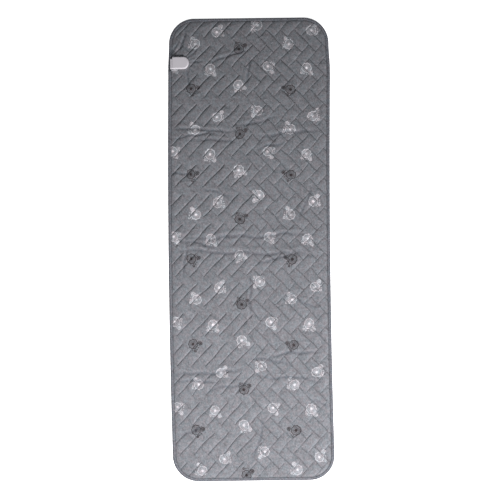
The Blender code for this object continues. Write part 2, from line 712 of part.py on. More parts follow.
def build_socket():
    """The socket insert with its contact pins, terminal board and crimps."""
    insert_low = (SOCKET_X, INSERT_LOW_Y, INSERT_LOW)
    insert = block("socket_insert", insert_low, (INSERT_END_X, INSERT_HIGH_Y, INSERT_HIGH))
    recess_low = (SOCKET_X - OVERRUN, INSERT_LOW_Y + INSERT_WALL, INSERT_LOW + INSERT_WALL)
    recess_high = (SOCKET_X + RECESS_DEPTH, INSERT_HIGH_Y - INSERT_WALL, INSERT_HIGH - INSERT_WALL)
    cut(insert, block("cutter", recess_low, recess_high))
    for number in range(PIN_COUNT):
        y = pin_y(number)
        path = [(SOCKET_X + RECESS_DEPTH - OVERRUN, y, PIN_Z), (INSERT_END_X + OVERRUN, y, PIN_Z)]
        cut(insert, tube("cutter", path, PIN_DIAMETER / 2 + GAP, sides=FASTENER_SIDES))
        path = [(SOCKET_X + PIN_RECESS, y, PIN_Z), (PIN_END_X, y, PIN_Z)]
        pin = tube(f"contact_pin_{number + 1}", path, PIN_DIAMETER / 2, sides=FASTENER_SIDES)
        finish(pin, CONTACT_METAL, 0.3, metallic=1.0, smooth=True)
        low = (CRIMP_X, y - CRIMP_WIDTH / 2, CRIMP_LOW)
        high = (CRIMP_X + CRIMP_LENGTH, y + CRIMP_WIDTH / 2, CRIMP_LOW + CRIMP_HEIGHT)
        finish(block(f"crimp_terminal_{number + 1}", low, high), CRIMP_TIN, 0.35, metallic=1.0)
    finish(insert, INSERT_BLACK, 0.5, smooth=True)
    reach = PIN_PITCH * (PIN_COUNT - 1) / 2 + CRIMP_WIDTH / 2 + BOARD_SIDE
    low = (BOARD_X, INSERT_MID_Y - reach, FLOOR_TOP + GAP)
    high = (BOARD_X + BOARD_LENGTH, INSERT_MID_Y + reach, BOARD_TOP)
    finish(block("terminal_board", low, high), BOARD_TAN, 0.6)


def screw(name, x, y, stations):
    """A screw turned about Z through (height, radius) stations."""
    rings = [ring(circle(x, y, radius, sides=FASTENER_SIDES), z) for z, radius in stations]
    finish(loft(name, rings), SCREW_STEEL, 0.35, metallic=1.0, smooth=True)


def build_fasteners():
    """The housing screws, the lead clamp and its screws."""
    head_low = BASE_LOW + GAP
    head_top = head_low + SCREW_HEAD_HEIGHT
    tip = BASE_LOW + BASE_BOSS_HEIGHT + SCREW_GRIP
    for number, (x, y) in enumerate(screw_places(), 1):
        stations = [
            (head_low, SCREW_HEAD_RADIUS * HEAD_EDGE_SHARE),
            (head_low + SCREW_HEAD_HEIGHT * TIP_SHARE, SCREW_HEAD_RADIUS),
            (head_top, SCREW_HEAD_RADIUS),
            (head_top + HEAD_STEP, SCREW_RADIUS),
            (tip - SCREW_RADIUS, SCREW_RADIUS),
            (tip, SCREW_RADIUS * TIP_SHARE),
        ]
        screw(f"housing_screw_{number}", x, y, stations)
    clamp_top = CLAMP_LOW + CLAMP_THICK
    reach = CLAMP_SCREW_Y + CLAMP_END
    low = (CLAMP_X - CLAMP_LENGTH / 2, CONNECTOR_Y - reach, CLAMP_LOW)
    clamp = block("lead_clamp", low, (CLAMP_X + CLAMP_LENGTH / 2, CONNECTOR_Y + reach, clamp_top))
    for number, side in ((1, -1), (2, 1)):
        y = CONNECTOR_Y + side * CLAMP_SCREW_Y
        hole = CLAMP_SCREW_RADIUS + SCREW_CLEARANCE
        cut(clamp, rod("cutter", CLAMP_X, y, hole, CLAMP_LOW - OVERRUN, clamp_top + OVERRUN))
        seat = clamp_top + GAP
        stations = [
            (FLOOR_TOP + GAP, CLAMP_SCREW_RADIUS * TIP_SHARE),
            (FLOOR_TOP + GAP + CLAMP_SCREW_RADIUS, CLAMP_SCREW_RADIUS),
            (seat - HEAD_STEP, CLAMP_SCREW_RADIUS),
            (seat, CLAMP_HEAD_RADIUS),
            (seat + CLAMP_HEAD_HEIGHT * HEAD_SIDE_SHARE, CLAMP_HEAD_RADIUS),
            (seat + CLAMP_HEAD_HEIGHT, CLAMP_HEAD_RADIUS * HEAD_EDGE_SHARE),
        ]
        screw(f"clamp_screw_{number}", CLAMP_X, y, stations)
    finish(clamp, INSERT_BLACK, 0.6)


def hang(child, parent, place):
    """Parent a piece or an empty to an empty that stands at place, without moving it."""
    child.parent = parent
    child.matrix_parent_inverse = Matrix.Translation([-c for c in place])


def build_folds():
    """An empty on each fold's axis, with the panels that turn about it."""
    places = {
        "head": (0.0, PANEL_LENGTH, HEAD_FOLD_Z),
        "lower": (0.0, 0.0, MIDDLE_FOLD_Z),
        "foot": (0.0, -PANEL_LENGTH, FOOT_FOLD_Z),
    }
    pieces = list(bpy.context.scene.objects)
    empties = {}
    for panel, place in places.items():
        empties[panel] = bpy.data.objects.new("axis_" + panel, None)
        empties[panel].location = place
        bpy.context.scene.collection.objects.link(empties[panel])
    hang(empties["foot"], empties["lower"], places["lower"])
    for piece in pieces:
        words = piece.name.split("_")
        panel = next((name for name in PANELS if name in words), "head")
        if panel in places:
            hang(piece, empties[panel], places[panel])


def main():
    """Clear the scene and build every piece."""
    for thing in list(bpy.data.objects):
        bpy.data.objects.remove(thing)
    build_layers()
    build_bindings()
    build_heaters()
    build_leads()
    build_base()
    build_lid()
    build_socket()
    build_fasteners()
    build_folds()


main()
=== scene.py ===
"""Visual model of a folding far-infrared heating mat: quilted cover, edge tape, underside and socket housing.

The cloth is made in three pieces, one across each fold line between the CAD panels.
The socket housing and the electrical parts are the CAD nodes with finishes.
Metres, +X across the mat, +Y towards the head end, +Z up.
"""

from __future__ import annotations

import logging
import math
from dataclasses import dataclass, field
from enum import Enum

import bmesh
import bpy
import numpy as np
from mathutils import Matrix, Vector

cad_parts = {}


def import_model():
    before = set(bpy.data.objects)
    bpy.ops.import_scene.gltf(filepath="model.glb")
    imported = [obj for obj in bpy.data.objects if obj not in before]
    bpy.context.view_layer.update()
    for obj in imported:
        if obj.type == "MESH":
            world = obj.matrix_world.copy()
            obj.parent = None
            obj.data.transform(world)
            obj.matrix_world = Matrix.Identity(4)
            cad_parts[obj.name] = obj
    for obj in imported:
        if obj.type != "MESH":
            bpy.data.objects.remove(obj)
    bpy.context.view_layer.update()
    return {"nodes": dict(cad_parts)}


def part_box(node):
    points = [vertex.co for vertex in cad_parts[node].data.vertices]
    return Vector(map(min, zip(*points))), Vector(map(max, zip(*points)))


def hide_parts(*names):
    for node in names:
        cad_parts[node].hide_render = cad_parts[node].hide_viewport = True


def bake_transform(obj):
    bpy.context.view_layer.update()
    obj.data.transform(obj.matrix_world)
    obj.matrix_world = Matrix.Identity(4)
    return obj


LOG = logging.getLogger("mat")
Array = np.ndarray
Socket = bpy.types.NodeSocket
Place = tuple[float, float, float]


class Ink(Enum):
    """The two inks of the cover's print, as linear colours."""

    PALE = (0.56, 0.55, 0.57)
    DARK = (0.019, 0.015, 0.016)


class Side(Enum):
    """Which side of a blossom its small bud is on."""

    LEFT = 1
    RIGHT = -1


@dataclass(frozen=True)
class MatSize:
    """Overall sizes of the mat, in metres.

    Attributes:
        length: its length.
        width: its width.
        corner: the radius of its corners.
        tape: the width of the edge tape.
        bow: how far the cloth bows towards -X.
        bow_reach: the distance from the bow's middle at which it has run out.
        bow_centre: where the bow is greatest.
        pinch: how far each side comes in at the head.
        pinch_from: where the sides start to come in.
        pinch_over: the length over which they come in.
    """

    length: float = 1.80
    width: float = 0.63
    corner: float = 0.10
    tape: float = 0.012
    bow: float = 0.007
    bow_reach: float = 0.72
    bow_centre: float = -0.05
    pinch: float = 0.0045
    pinch_from: float = 0.70
    pinch_over: float = 0.10

    def edge_distance(self, x: Array, y: Array) -> Array:
        """Distance inside the mat's rounded outline.

        Args:
            x: places across the mat.
            y: places along the mat.

        Returns:
            The distance to the outline, positive inside.
        """
        dx = np.abs(x) - (self.width / 2 - self.corner)
        dy = np.abs(y) - (self.length / 2 - self.corner)
        outside = np.hypot(np.maximum(dx, 0), np.maximum(dy, 0))
        return self.corner - outside - np.minimum(np.maximum(dx, dy), 0)

    def lean(self, y: Array) -> Array:
        """Sideways bow of the cloth as it lies.

        Args:
            y: places along the mat.

        Returns:
            How far the cloth lies towards +X there.
        """
        share = (y - self.bow_centre) / self.bow_reach
        bow = -self.bow * (1 - share * share)
        return np.where(y > 0, np.minimum(bow, 0), bow)

    def laid(self, x: Array, y: Array) -> Array:
        """Where the cloth's places across the mat come to lie.

        Args:
            x: places across the flat cloth.
            y: places along the mat.

        Returns:
            The places across the mat as it lies, narrowed a little at the head.
        """
        t = np.clip((y - self.pinch_from) / self.pinch_over, 0, 1)
        narrow = self.pinch * t * t * (3 - 2 * t)
        return x * (1 - narrow / (self.width / 2)) + self.lean(y)


@dataclass(frozen=True)
class Housing:
    """Outline and place of the socket housing.

    Attributes:
        y: its centre along the mat.
        half: half its width.
        socket_x: its flat end, where the socket opens.
        nose_x: where its round end starts.
        lip: the height at which the cloth meets the lid.
        collar: the length of its narrower socket end.
        collar_step: how much narrower that end is, on the side towards the head.
        nose: the length of its round end.
        dip_side: how far beyond its sides the edge tape stays flat.
        dip_ramp: how far the edge tape takes to rise again after that.
    """

    y: float
    half: float
    socket_x: float
    nose_x: float
    lip: float
    collar: float = 0.008
    collar_step: float = 0.0078
    nose: float = 0.021
    dip_side: float = 0.0005
    dip_ramp: float = 0.004

    @classmethod
    def from_frame(cls) -> Housing:
        """Read the housing's place from the frame.

        Returns:
            The housing.
        """
        low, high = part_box("connector_lid")
        middle = (low[1] + high[1]) / 2
        clearance = 0.0003
        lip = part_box("quilted_cover_head")[1][2] + clearance
        return cls(middle, (high[1] - low[1]) / 2, low[0], high[0] - cls.nose, lip)

    def distance(self, x: Array, y: Array) -> Array:
        """Distance outside the housing's outline, about right near it.

        Args:
            x: places across the mat.
            y: places along the mat.

        Returns:
            The distance, negative inside.
        """
        dx, dy = np.maximum(x - self.nose_x, 0), y - self.y
        reach = np.sqrt((dx / self.nose) ** 2 + (dy / self.half) ** 2)
        scale = np.where(dx > 0, (self.nose + self.half) / 2, self.half)
        body = np.maximum((reach - 1) * scale, self.socket_x + self.collar - x)
        collar_half = self.half - self.collar_step / 2
        collar_y = self.y - self.collar_step / 2
        collar = np.maximum(np.abs(y - collar_y) - collar_half, x - self.nose_x)
        return np.minimum(body, collar)

    def dip(self, x: Array, y: Array) -> Array:
        """How far the edge tape is pressed flat beside the socket.

        Args:
            x: places across the mat.
            y: places along the mat.

        Returns:
            1 where it is flat, 0 where it stands at its full height.
        """
        share = (self.half + self.dip_side + self.dip_ramp - np.abs(y - self.y)) / self.dip_ramp
        return np.where(x < 0, np.clip(share, 0, 1), 0.0)


@dataclass(frozen=True)
class Noise:
    """Smooth repeatable noise over the mat.

    Attributes:
        seed: picks the pattern.
        size: the size of its features, in metres.
        stretch: how much longer the features are along the mat.
    """

    seed: int
    size: float
    stretch: float = 1.0

    def at(self, x: Array, y: Array) -> Array:
        """The noise at each place.

        Args:
            x: places across the mat.
            y: places along the mat.

        Returns:
            Values from about -1 to 1.
        """
        table = np.random.default_rng(self.seed).uniform(-1, 1, (64, 64))
        u, v = x / self.size + 17.3, y / self.size / self.stretch + 29.7
        i, j = np.floor(u).astype(int), np.floor(v).astype(int)
        s, t = u - i, v - j
        s, t = s * s * (3 - 2 * s), t * t * (3 - 2 * t)
        corners = [table[(i + a) % 64, (j + b) % 64] for a in (0, 1) for b in (0, 1)]
        low = corners[0] * (1 - t) + corners[1] * t
        high = corners[2] * (1 - t) + corners[3] * t
        return low * (1 - s) + high * s


@dataclass(frozen=True)
class Herringbone:
    """Quilting in two-by-one bricks laid as a herringbone.

    Attributes:
        across: repeat across the mat.
        along: repeat along the mat.
        origin: a corner of the pattern.
        rising: depth share of the rising seams on the -X half.
        rising_change: what the +X half adds to it.
        falling: depth share of the falling seams on the -X half.
        falling_change: what the +X half adds to it.
        change_over: how wide the change from one half to the other is.
        meeting: how sharply the depth changes where two seams meet.
    """

    across: float = 0.0551
    along: float = 0.1158
    origin: tuple[float, float] = (0.0424, 0.0155)
    rising: float = 1.05
    rising_change: float = -0.55
    falling: float = 0.50
    falling_change: float = 0.60
    change_over: float = 0.06
    meeting: float = 6.0

    def unit(self) -> float:
        """The width of a brick.

        Returns:
            The width in metres.
        """
        return math.hypot(self.across / 2, self.along / 4)

    def tightness(self, x: Array, y: Array) -> Array:
        """How tightly the nearest seam is sewn: each half of the mat pulls along one direction.

        Args:
            x: places across the mat.
            y: places along the mat.

        Returns:
            The share of a full seam's depth.
        """
        a = (x - self.origin[0]) / self.across
        b = (y - self.origin[1]) * 2 / self.along
        to_rising = np.abs(b - a - np.round(b - a))
        to_falling = np.abs(a + b - np.round(a + b))
        right = np.clip((x + self.change_over / 2) / self.change_over, 0, 1)
        rising = self.rising + self.rising_change * right
        falling = self.falling + self.falling_change * right
        share = np.clip((to_falling - to_rising) * self.meeting + 0.5, 0, 1)
        return falling + (rising - falling) * share

    def place(self, x: Array, y: Array) -> tuple[Array, Array, Array, Array, Array]:
        """Where each point lies in its brick.

        Args:
            x: places across the mat.
            y: places along the mat.

        Returns:
            The distance to the nearest seam, the place along that seam, the
            shares across and along the brick, and a number for the brick.
        """
        a = (x - self.origin[0]) / self.across
        b = (y - self.origin[1]) * 2 / self.along
        u, v = a + b, b - a
        i, j = np.floor(u + 1e-6), np.floor(v + 1e-6)
        kind = np.mod(i + j, 4)
        up = kind < 2
        fu, fv = u - i, v - j
        along = np.where(up, np.where(kind == 1, fu + 1, fu), np.where(kind == 3, fv + 1, fv))
        across = np.where(up, fv, fu)
        side = np.minimum(np.abs(across), np.abs(1 - across))
        end = np.minimum(np.abs(along), np.abs(2 - along))
        near = np.minimum(side, end) * self.unit()
        on_side = side <= end
        track = np.where(on_side == up, u, v) * self.unit()
        number = np.where(kind == 1, i - 1, i) * 31.0 + np.where(kind == 3, j - 1, j) * 17.0
        return near, track, np.clip(across, 0, 1), np.clip(along / 2, 0, 1), number


@dataclass(frozen=True)
class Crease:
    """A soft crease or wrinkle in the cloth.

    Attributes:
        x: its middle across the mat.
        y: its middle along the mat.
        length: how long it is.
        turn: its direction in degrees from +X.
        width: how wide its valley is.
        depth: how deep it is, negative for a ridge.
        wander: how far it strays from straight.
    """

    x: float
    y: float
    length: float
    turn: float = 0.0
    width: float = 0.006
    depth: float = 0.0012
    wander: float = 0.004

    def height(self, x: Array, y: Array) -> Array:
        """The crease's own height.

        Args:
            x: places across the mat.
            y: places along the mat.

        Returns:
            Metres to add to the cloth's height.
        """
        turn = math.radians(self.turn)
        dx, dy = x - self.x, y - self.y
        along = dx * math.cos(turn) + dy * math.sin(turn)
        off = dy * math.cos(turn) - dx * math.sin(turn)
        off = off + self.wander * np.sin(along / 0.031 + self.x * 70)
        off = off + self.wander * 0.5 * np.sin(along / 0.013)
        fade = np.exp(-((2 * along / self.length) ** 4))
        valley = np.exp(-((off / self.width) ** 2))
        bank = np.exp(-(((off - 2.2 * self.width) / (1.4 * self.width)) ** 2))
        return self.depth * fade * (0.55 * bank - valley)

    def shade(self, x: Array, y: Array) -> Array:
        """How far each place lies in the crease's valley, where the cover's colour is darkened as painted
        shade.

        Args:
            x: places across the mat.
            y: places along the mat.

        Returns:
            Shares from 0 to 1.
        """
        return np.clip(-self.height(x, y) / self.depth, 0, 1)


CREASES: tuple[Crease, ...] = (
    Crease(-0.262, 0.815, 0.09, 78, 0.005, 0.0016),
    Crease(-0.244, 0.676, 0.06, 104, 0.004, 0.0016),
    Crease(-0.229, 0.757, 0.09, 42, 0.005, 0.0018),
    Crease(-0.205, 0.727, 0.05, 8, 0.004, 0.0012),
    Crease(-0.285, 0.790, 0.06, 66, 0.004, 0.0012),
    Crease(-0.105, 0.745, 0.09, 24, 0.005, 0.0016),
    Crease(-0.045, 0.765, 0.07, 12, 0.005, 0.0011),
    Crease(-0.185, 0.468, 0.23, -3, 0.006, 0.0018),
    Crease(-0.215, 0.445, 0.17, 4, 0.005, 0.0014),
    Crease(-0.13, 0.425, 0.16, -6, 0.006, 0.0015),
    Crease(0.03, 0.497, 0.14, 9, 0.006, 0.0014),
    Crease(0.16, 0.452, 0.22, 6, 0.007, 0.0012),
    Crease(0.09, 0.405, 0.10, 18, 0.006, 0.0010),
    Crease(0.0, 0.052, 0.44, 2, 0.007, 0.0014),
    Crease(-0.02, -0.012, 0.52, -2, 0.007, 0.0016),
    Crease(0.12, -0.03, 0.18, 14, 0.006, 0.0011),
    Crease(-0.19, 0.02, 0.15, -12, 0.006, 0.0012),
    Crease(0.17, -0.405, 0.20, 6, 0.006, 0.0014),
    Crease(0.07, -0.43, 0.16, -10, 0.006, 0.0011),
    Crease(-0.17, -0.475, 0.26, 3, 0.007, 0.0020),
    Crease(-0.21, -0.512, 0.17, -8, 0.006, 0.0016),
    Crease(-0.10, -0.535, 0.15, 12, 0.006, 0.0012),
    Crease(0.15, -0.50, 0.22, -5, 0.006, 0.0014),
    Crease(-0.002, 0.70, 0.10, 88, 0.005, 0.0012),
    Crease(0.0, -0.18, 0.16, 91, 0.005, 0.0013),
    Crease(-0.252, -0.03, 0.15, 86, 0.005, 0.0012),
    Crease(0.02, -0.74, 0.16, 70, 0.006, 0.0008),
    Crease(-0.24, -0.70, 0.10, 20, 0.006, 0.0010),
    Crease(0.22, 0.18, 0.12, 62, 0.006, 0.0008),
    Crease(0.20, -0.20, 0.13, -30, 0.006, 0.0008),
    Crease(-0.12, 0.22, 0.12, -20, 0.006, 0.0009),
    Crease(-0.27, 0.30, 0.07, 8, 0.005, 0.0011),
    Crease(0.27, -0.60, 0.08, -14, 0.005, 0.0011),
)


@dataclass(frozen=True)
class Blossom:
    """One printed blossom of the repeat.

    Attributes:
        x: its centre across the mat.
        y: its centre along the mat.
        turn: the direction of its large bud, in degrees.
        side: the side that its small bud is on.
        ink: its ink.
    """

    x: float
    y: float
    turn: float
    side: Side
    ink: Ink = Ink.PALE


@dataclass(frozen=True)
class Print:
    """The cover's printed repeat.

    Attributes:
        along: the repeat along the mat.
        drift: how far each repeat stands towards +X of the one before it.
        reach: the radius that holds a whole blossom.
        blossoms: the blossoms of one repeat.
    """

    along: float = 0.3313
    drift: float = 0.00175
    reach: float = 0.042
    blossoms: tuple[Blossom, ...] = (
        Blossom(0.0350, 0.8716, 225, Side.RIGHT),
        Blossom(-0.1253, 0.8459, 52, Side.RIGHT),
        Blossom(0.2463, 0.8475, 52, Side.RIGHT),
        Blossom(-0.2110, 0.8000, 122, Side.LEFT),
        Blossom(0.1587, 0.7976, 122, Side.LEFT),
        Blossom(-0.0390, 0.7800, 32, Side.LEFT, Ink.DARK),
        Blossom(0.0730, 0.7108, -57, Side.LEFT),
        Blossom(-0.2975, 0.7160, -57, Side.LEFT),
        Blossom(-0.1513, 0.7039, -54, Side.RIGHT),
        Blossom(0.2228, 0.7024, -54, Side.RIGHT),
        Blossom(-0.0423, 0.6421, -29, Side.RIGHT),
        Blossom(-0.2271, 0.6280, 7, Side.RIGHT, Ink.DARK),
        Blossom(0.1617, 0.6201, 163, Side.LEFT, Ink.DARK),
    )

    def place(self, x: Array, y: Array) -> tuple[Array, Array]:
        """Each point's place in the nearest blossom.

        Args:
            x: places across the mat.
            y: places along the mat.

        Returns:
            Rows of (place along, place across, ink share) and whether the
            point is near enough to a blossom to be printed.
        """
        best = np.full(x.shape, 9.0)
        local = np.zeros((*x.shape, 3))
        for blossom in self.blossoms:
            repeat = np.round((blossom.y - y) / self.along)
            dx = x - blossom.x - self.drift * repeat
            dy = y - blossom.y + self.along * repeat
            far = np.hypot(dx, dy)
            turn = math.radians(blossom.turn)
            along = dx * math.cos(turn) + dy * math.sin(turn)
            off = (dy * math.cos(turn) - dx * math.sin(turn)) * blossom.side.value
            dark = np.full(x.shape, 1.0 if blossom.ink is Ink.DARK else 0.0)
            closer = far < best
            local[closer] = np.stack([along, off, dark], axis=-1)[closer]
            best = np.minimum(best, far)
        return local, (best < self.reach).astype(float)


def wrinkles(x: Array, y: Array) -> Array:
    """Fine wandering wrinkles, as thin ridges.

    Args:
        x: places across the mat.
        y: places along the mat.

    Returns:
        Shares from 0 to 1.
    """
    total = np.zeros_like(x)
    for seed, size, turn, stretch in ((31, 0.030, 0.6, 1.7), (41, 0.046, -0.9, 1.5), (51, 0.060, 1.5, 2.4)):
        across = x * math.cos(turn) + y * math.sin(turn)
        along = y * math.cos(turn) - x * math.sin(turn)
        line = np.clip(1 - 5 * np.abs(Noise(seed, size, stretch).at(across, along)), 0, 1)
        patch = np.clip(Noise(seed + 1, 0.13).at(x, y) * 2.2 + 0.1, 0, 1)
        total = np.maximum(total, line * line * patch)
    return total


@dataclass(frozen=True)
class QuiltShape:
    """Heights of the quilted cover.

    Attributes:
        housing: the socket housing.
        mat: overall sizes.
        quilting: the seam pattern.
        seam_height: height of the cloth at a seam.
        loft: rise from a seam to the shoulder of a brick.
        dome: further rise to the middle of a brick.
        tape_height: height of the cloth where it goes under the edge tape.
        wrinkle: height of the fine wrinkles.
        pressed: most height where the housing lies on the cloth when the head is folded over.
        landing: how far round the housing the cloth is pressed there.
        seam_width: how far from a seam the cloth is drawn down.
        gather: height of the gathers round the housing.
        gather_reach: the distance over which they fade.
        grip_reach: the distance over which the housing holds the cloth down.
        least: least height of the cloth away from the edge tape.
    """

    housing: Housing
    mat: MatSize = MatSize()
    quilting: Herringbone = Herringbone()
    seam_height: float = 0.0083
    loft: float = 0.0022
    dome: float = 0.0011
    tape_height: float = 0.0064
    wrinkle: float = 0.0010
    pressed: float = 0.0124
    landing: float = 0.006
    seam_width: float = 0.0030
    gather: float = 0.0011
    gather_reach: float = 0.022
    grip_reach: float = 0.005
    least: float = 0.0074

    def height(self, x: Array, y: Array) -> Array:
        """The cover's height at each place.

        Args:
            x: places across the mat.
            y: places along the mat.

        Returns:
            Heights in metres.
        """
        near, _, across, along, number = self.quilting.place(x, y)
        brick = np.modf(np.abs(np.sin(number * 12.9898) * 43758.5453))[0]
        dent = np.exp(-((near / self.seam_width) ** 1.2))
        shoulder = 1 - dent * self.quilting.tightness(x, y)
        swell = (np.sin(np.pi * across) * np.sin(np.pi * along)) ** 0.7
        slack = Noise(3, 0.011).at(x, y) * Noise(4, 0.045).at(x, y)
        z = self.loft * shoulder * (0.8 + 0.4 * brick)
        z = z + self.dome * swell * (0.6 + 0.8 * brick) + 0.0006 * slack * shoulder
        z = z + 1.5 * sum(crease.height(x, y) for crease in CREASES)
        z = z + 0.0005 * Noise(5, 0.16).at(x, y) + 0.0004 * Noise(6, 0.05, 1.6).at(x, y)
        z = self.seam_height + z + self.wrinkle * wrinkles(x, y)
        gap = self.housing.distance(x, y)
        angle = np.arctan2(y - self.housing.y, x - self.housing.nose_x)
        pucker = np.sin(9 * angle + 0.7) + 0.6 * np.sin(15 * angle + 2.1)
        z = z + self.gather * pucker * np.exp(-np.maximum(gap, 0) / self.gather_reach)
        inside = self.mat.edge_distance(x, y)
        rise = 1 - np.exp(-np.maximum(inside - 0.009, 0) / 0.009)
        ruffle = 0.0004 * Noise(8, 0.018).at(x, y) * np.exp(-inside / 0.03)
        z = self.tape_height + (z - self.tape_height) * rise + ruffle
        grip = np.exp(-((np.maximum(gap, 0) / self.grip_reach) ** 2)) * np.clip(rise, 0.35, 1)
        z = z * (1 - grip) + (self.housing.lip + 0.0002) * grip
        landing = self.housing.distance(x, self.mat.length / 2 - y) < self.landing
        z = np.where(landing, np.minimum(z, self.pressed), z)
        return np.maximum(z, self.least * rise)


class Nodes:
    """Short ways to build one node tree."""

    def __init__(self, tree: bpy.types.NodeTree) -> None:
        """Keep the tree.

        Args:
            tree: the tree to build in.
        """
        self.tree = tree

    def add(self, kind: str, **settings: object) -> bpy.types.Node:
        """Add a node.

        Args:
            kind: the node's type name.
            settings: properties to set on it.

        Returns:
            The node.
        """
        node = self.tree.nodes.new(kind)
        for name, value in settings.items():
            setattr(node, name, value)
        return node

    def feed(self, socket: Socket, value: object) -> None:
        """Give an input a link or a value.

        Args:
            socket: the input.
            value: an output socket, a number or a tuple.
        """
        if isinstance(value, bpy.types.NodeSocket):
            self.tree.links.new(value, socket)
        else:
            socket.default_value = value

    def math(self, operation: str, a: object, b: object = 0.0, clamp: bool = False) -> Socket:
        """A maths node.

        Args:
            operation: what it does.
            a: first value.
            b: second value.
            clamp: whether the result is kept from 0 to 1.

        Returns:
            The result.
        """
        node = self.add("ShaderNodeMath", operation=operation, use_clamp=clamp)
        self.feed(node.inputs[0], a)
        self.feed(node.inputs[1], b)
        return node.outputs[0]

    def plus(self, a: object, b: object, clamp: bool = False) -> Socket:
        """The sum of two values."""
        return self.math("ADD", a, b, clamp)

    def minus(self, a: object, b: object) -> Socket:
        """The first value less the second."""
        return self.math("SUBTRACT", a, b)

    def times(self, a: object, b: object, clamp: bool = False) -> Socket:
        """The product of two values."""
        return self.math("MULTIPLY", a, b, clamp)

    def step(self, value: object, low: float, high: float) -> Socket:
        """A smooth step.

        Args:
            value: what is tested.
            low: where the result is 0.
            high: where the result is 1.

        Returns:
            The share from 0 to 1.
        """
        node = self.add("ShaderNodeMapRange", interpolation_type="SMOOTHSTEP")
        self.feed(node.inputs["Value"], value)
        node.inputs["From Min"].default_value = low
        node.inputs["From Max"].default_value = high
        return node.outputs["Result"]

    def noise(self, vector: object, scale: float, detail: float = 2.0, rough: float = 0.5) -> Socket:
        """Noise around one half.

        Args:
            vector: the coordinates.
            scale: features per metre.
            detail: octaves.
            rough: how strong the finer octaves are.

        Returns:
            The noise.
        """
        node = self.add("ShaderNodeTexNoise")
        self.feed(node.inputs["Vector"], vector)
        node.inputs["Scale"].default_value = scale
        node.inputs["Detail"].default_value = detail
        node.inputs["Roughness"].default_value = rough
        return node.outputs["Fac"]

    def mix(self, share: object, a: object, b: object, blend: str = "MIX") -> Socket:
        """Mix two colours.

        Args:
            share: how much of b.
            a: first colour.
            b: second colour.
            blend: the way they mix.

        Returns:
            The colour.
        """
        node = self.add("ShaderNodeMix", data_type="RGBA", blend_type=blend)
        self.feed(node.inputs[0], share)
        self.feed(node.inputs[6], a)
        self.feed(node.inputs[7], b)
        return node.outputs[2]

    def scaled(self, vector: object, scale: Place, turn: float = 0.0) -> Socket:
        """Coordinates stretched and turned about Z.

        Args:
            vector: the coordinates.
            scale: the stretch.
            turn: the turn in radians.

        Returns:
            The new coordinates.
        """
        node = self.add("ShaderNodeMapping")
        self.feed(node.inputs["Vector"], vector)
        node.inputs["Scale"].default_value = scale
        node.inputs["Rotation"].default_value = (0.0, 0.0, turn)
        return node.outputs["Vector"]

    def wave(self, value: object, period: float) -> Socket:
        """A sine of a length.

        Args:
            value: the length.
            period: its repeat.

        Returns:
            Values from -1 to 1.
        """
        return self.math("SINE", self.times(value, 2 * math.pi / period))

    def split(self, vector: object) -> tuple[Socket, Socket, Socket]:
        """The parts of a vector.

        Args:
            vector: the vector.

        Returns:
            Its X, Y and Z.
        """
        node = self.add("ShaderNodeSeparateXYZ")
        self.feed(node.inputs[0], vector)
        return node.outputs[0], node.outputs[1], node.outputs[2]

    def attribute(self, name: str, output: str = "Vector") -> Socket:
        """A mesh attribute.

        Args:
            name: its name.
            output: which output to read.

        Returns:
            The value.
        """
        return self.add("ShaderNodeAttribute", attribute_name=name).outputs[output]


def new_group(name: str) -> tuple[bpy.types.NodeTree, Nodes, bpy.types.Node, bpy.types.Node]:
    """A node group that turns coordinates and a colour into a finish.

    Args:
        name: the group's name.

    Returns:
        The group, its builder, its input node and its output node.
    """
    group = bpy.data.node_groups.new(name, "ShaderNodeTree")
    inputs = {"Vector": "NodeSocketVector", "Color": "NodeSocketColor", "Roughness": "NodeSocketFloat"}
    for label, kind in inputs.items():
        group.interface.new_socket(label, in_out="INPUT", socket_type=kind)
    outputs = {"Color": "NodeSocketColor", "Roughness": "NodeSocketFloat", "Height": "NodeSocketFloat"}
    for label, kind in outputs.items():
        group.interface.new_socket(label, in_out="OUTPUT", socket_type=kind)
    nodes = Nodes(group)
    return group, nodes, nodes.add("NodeGroupInput"), nodes.add("NodeGroupOutput")


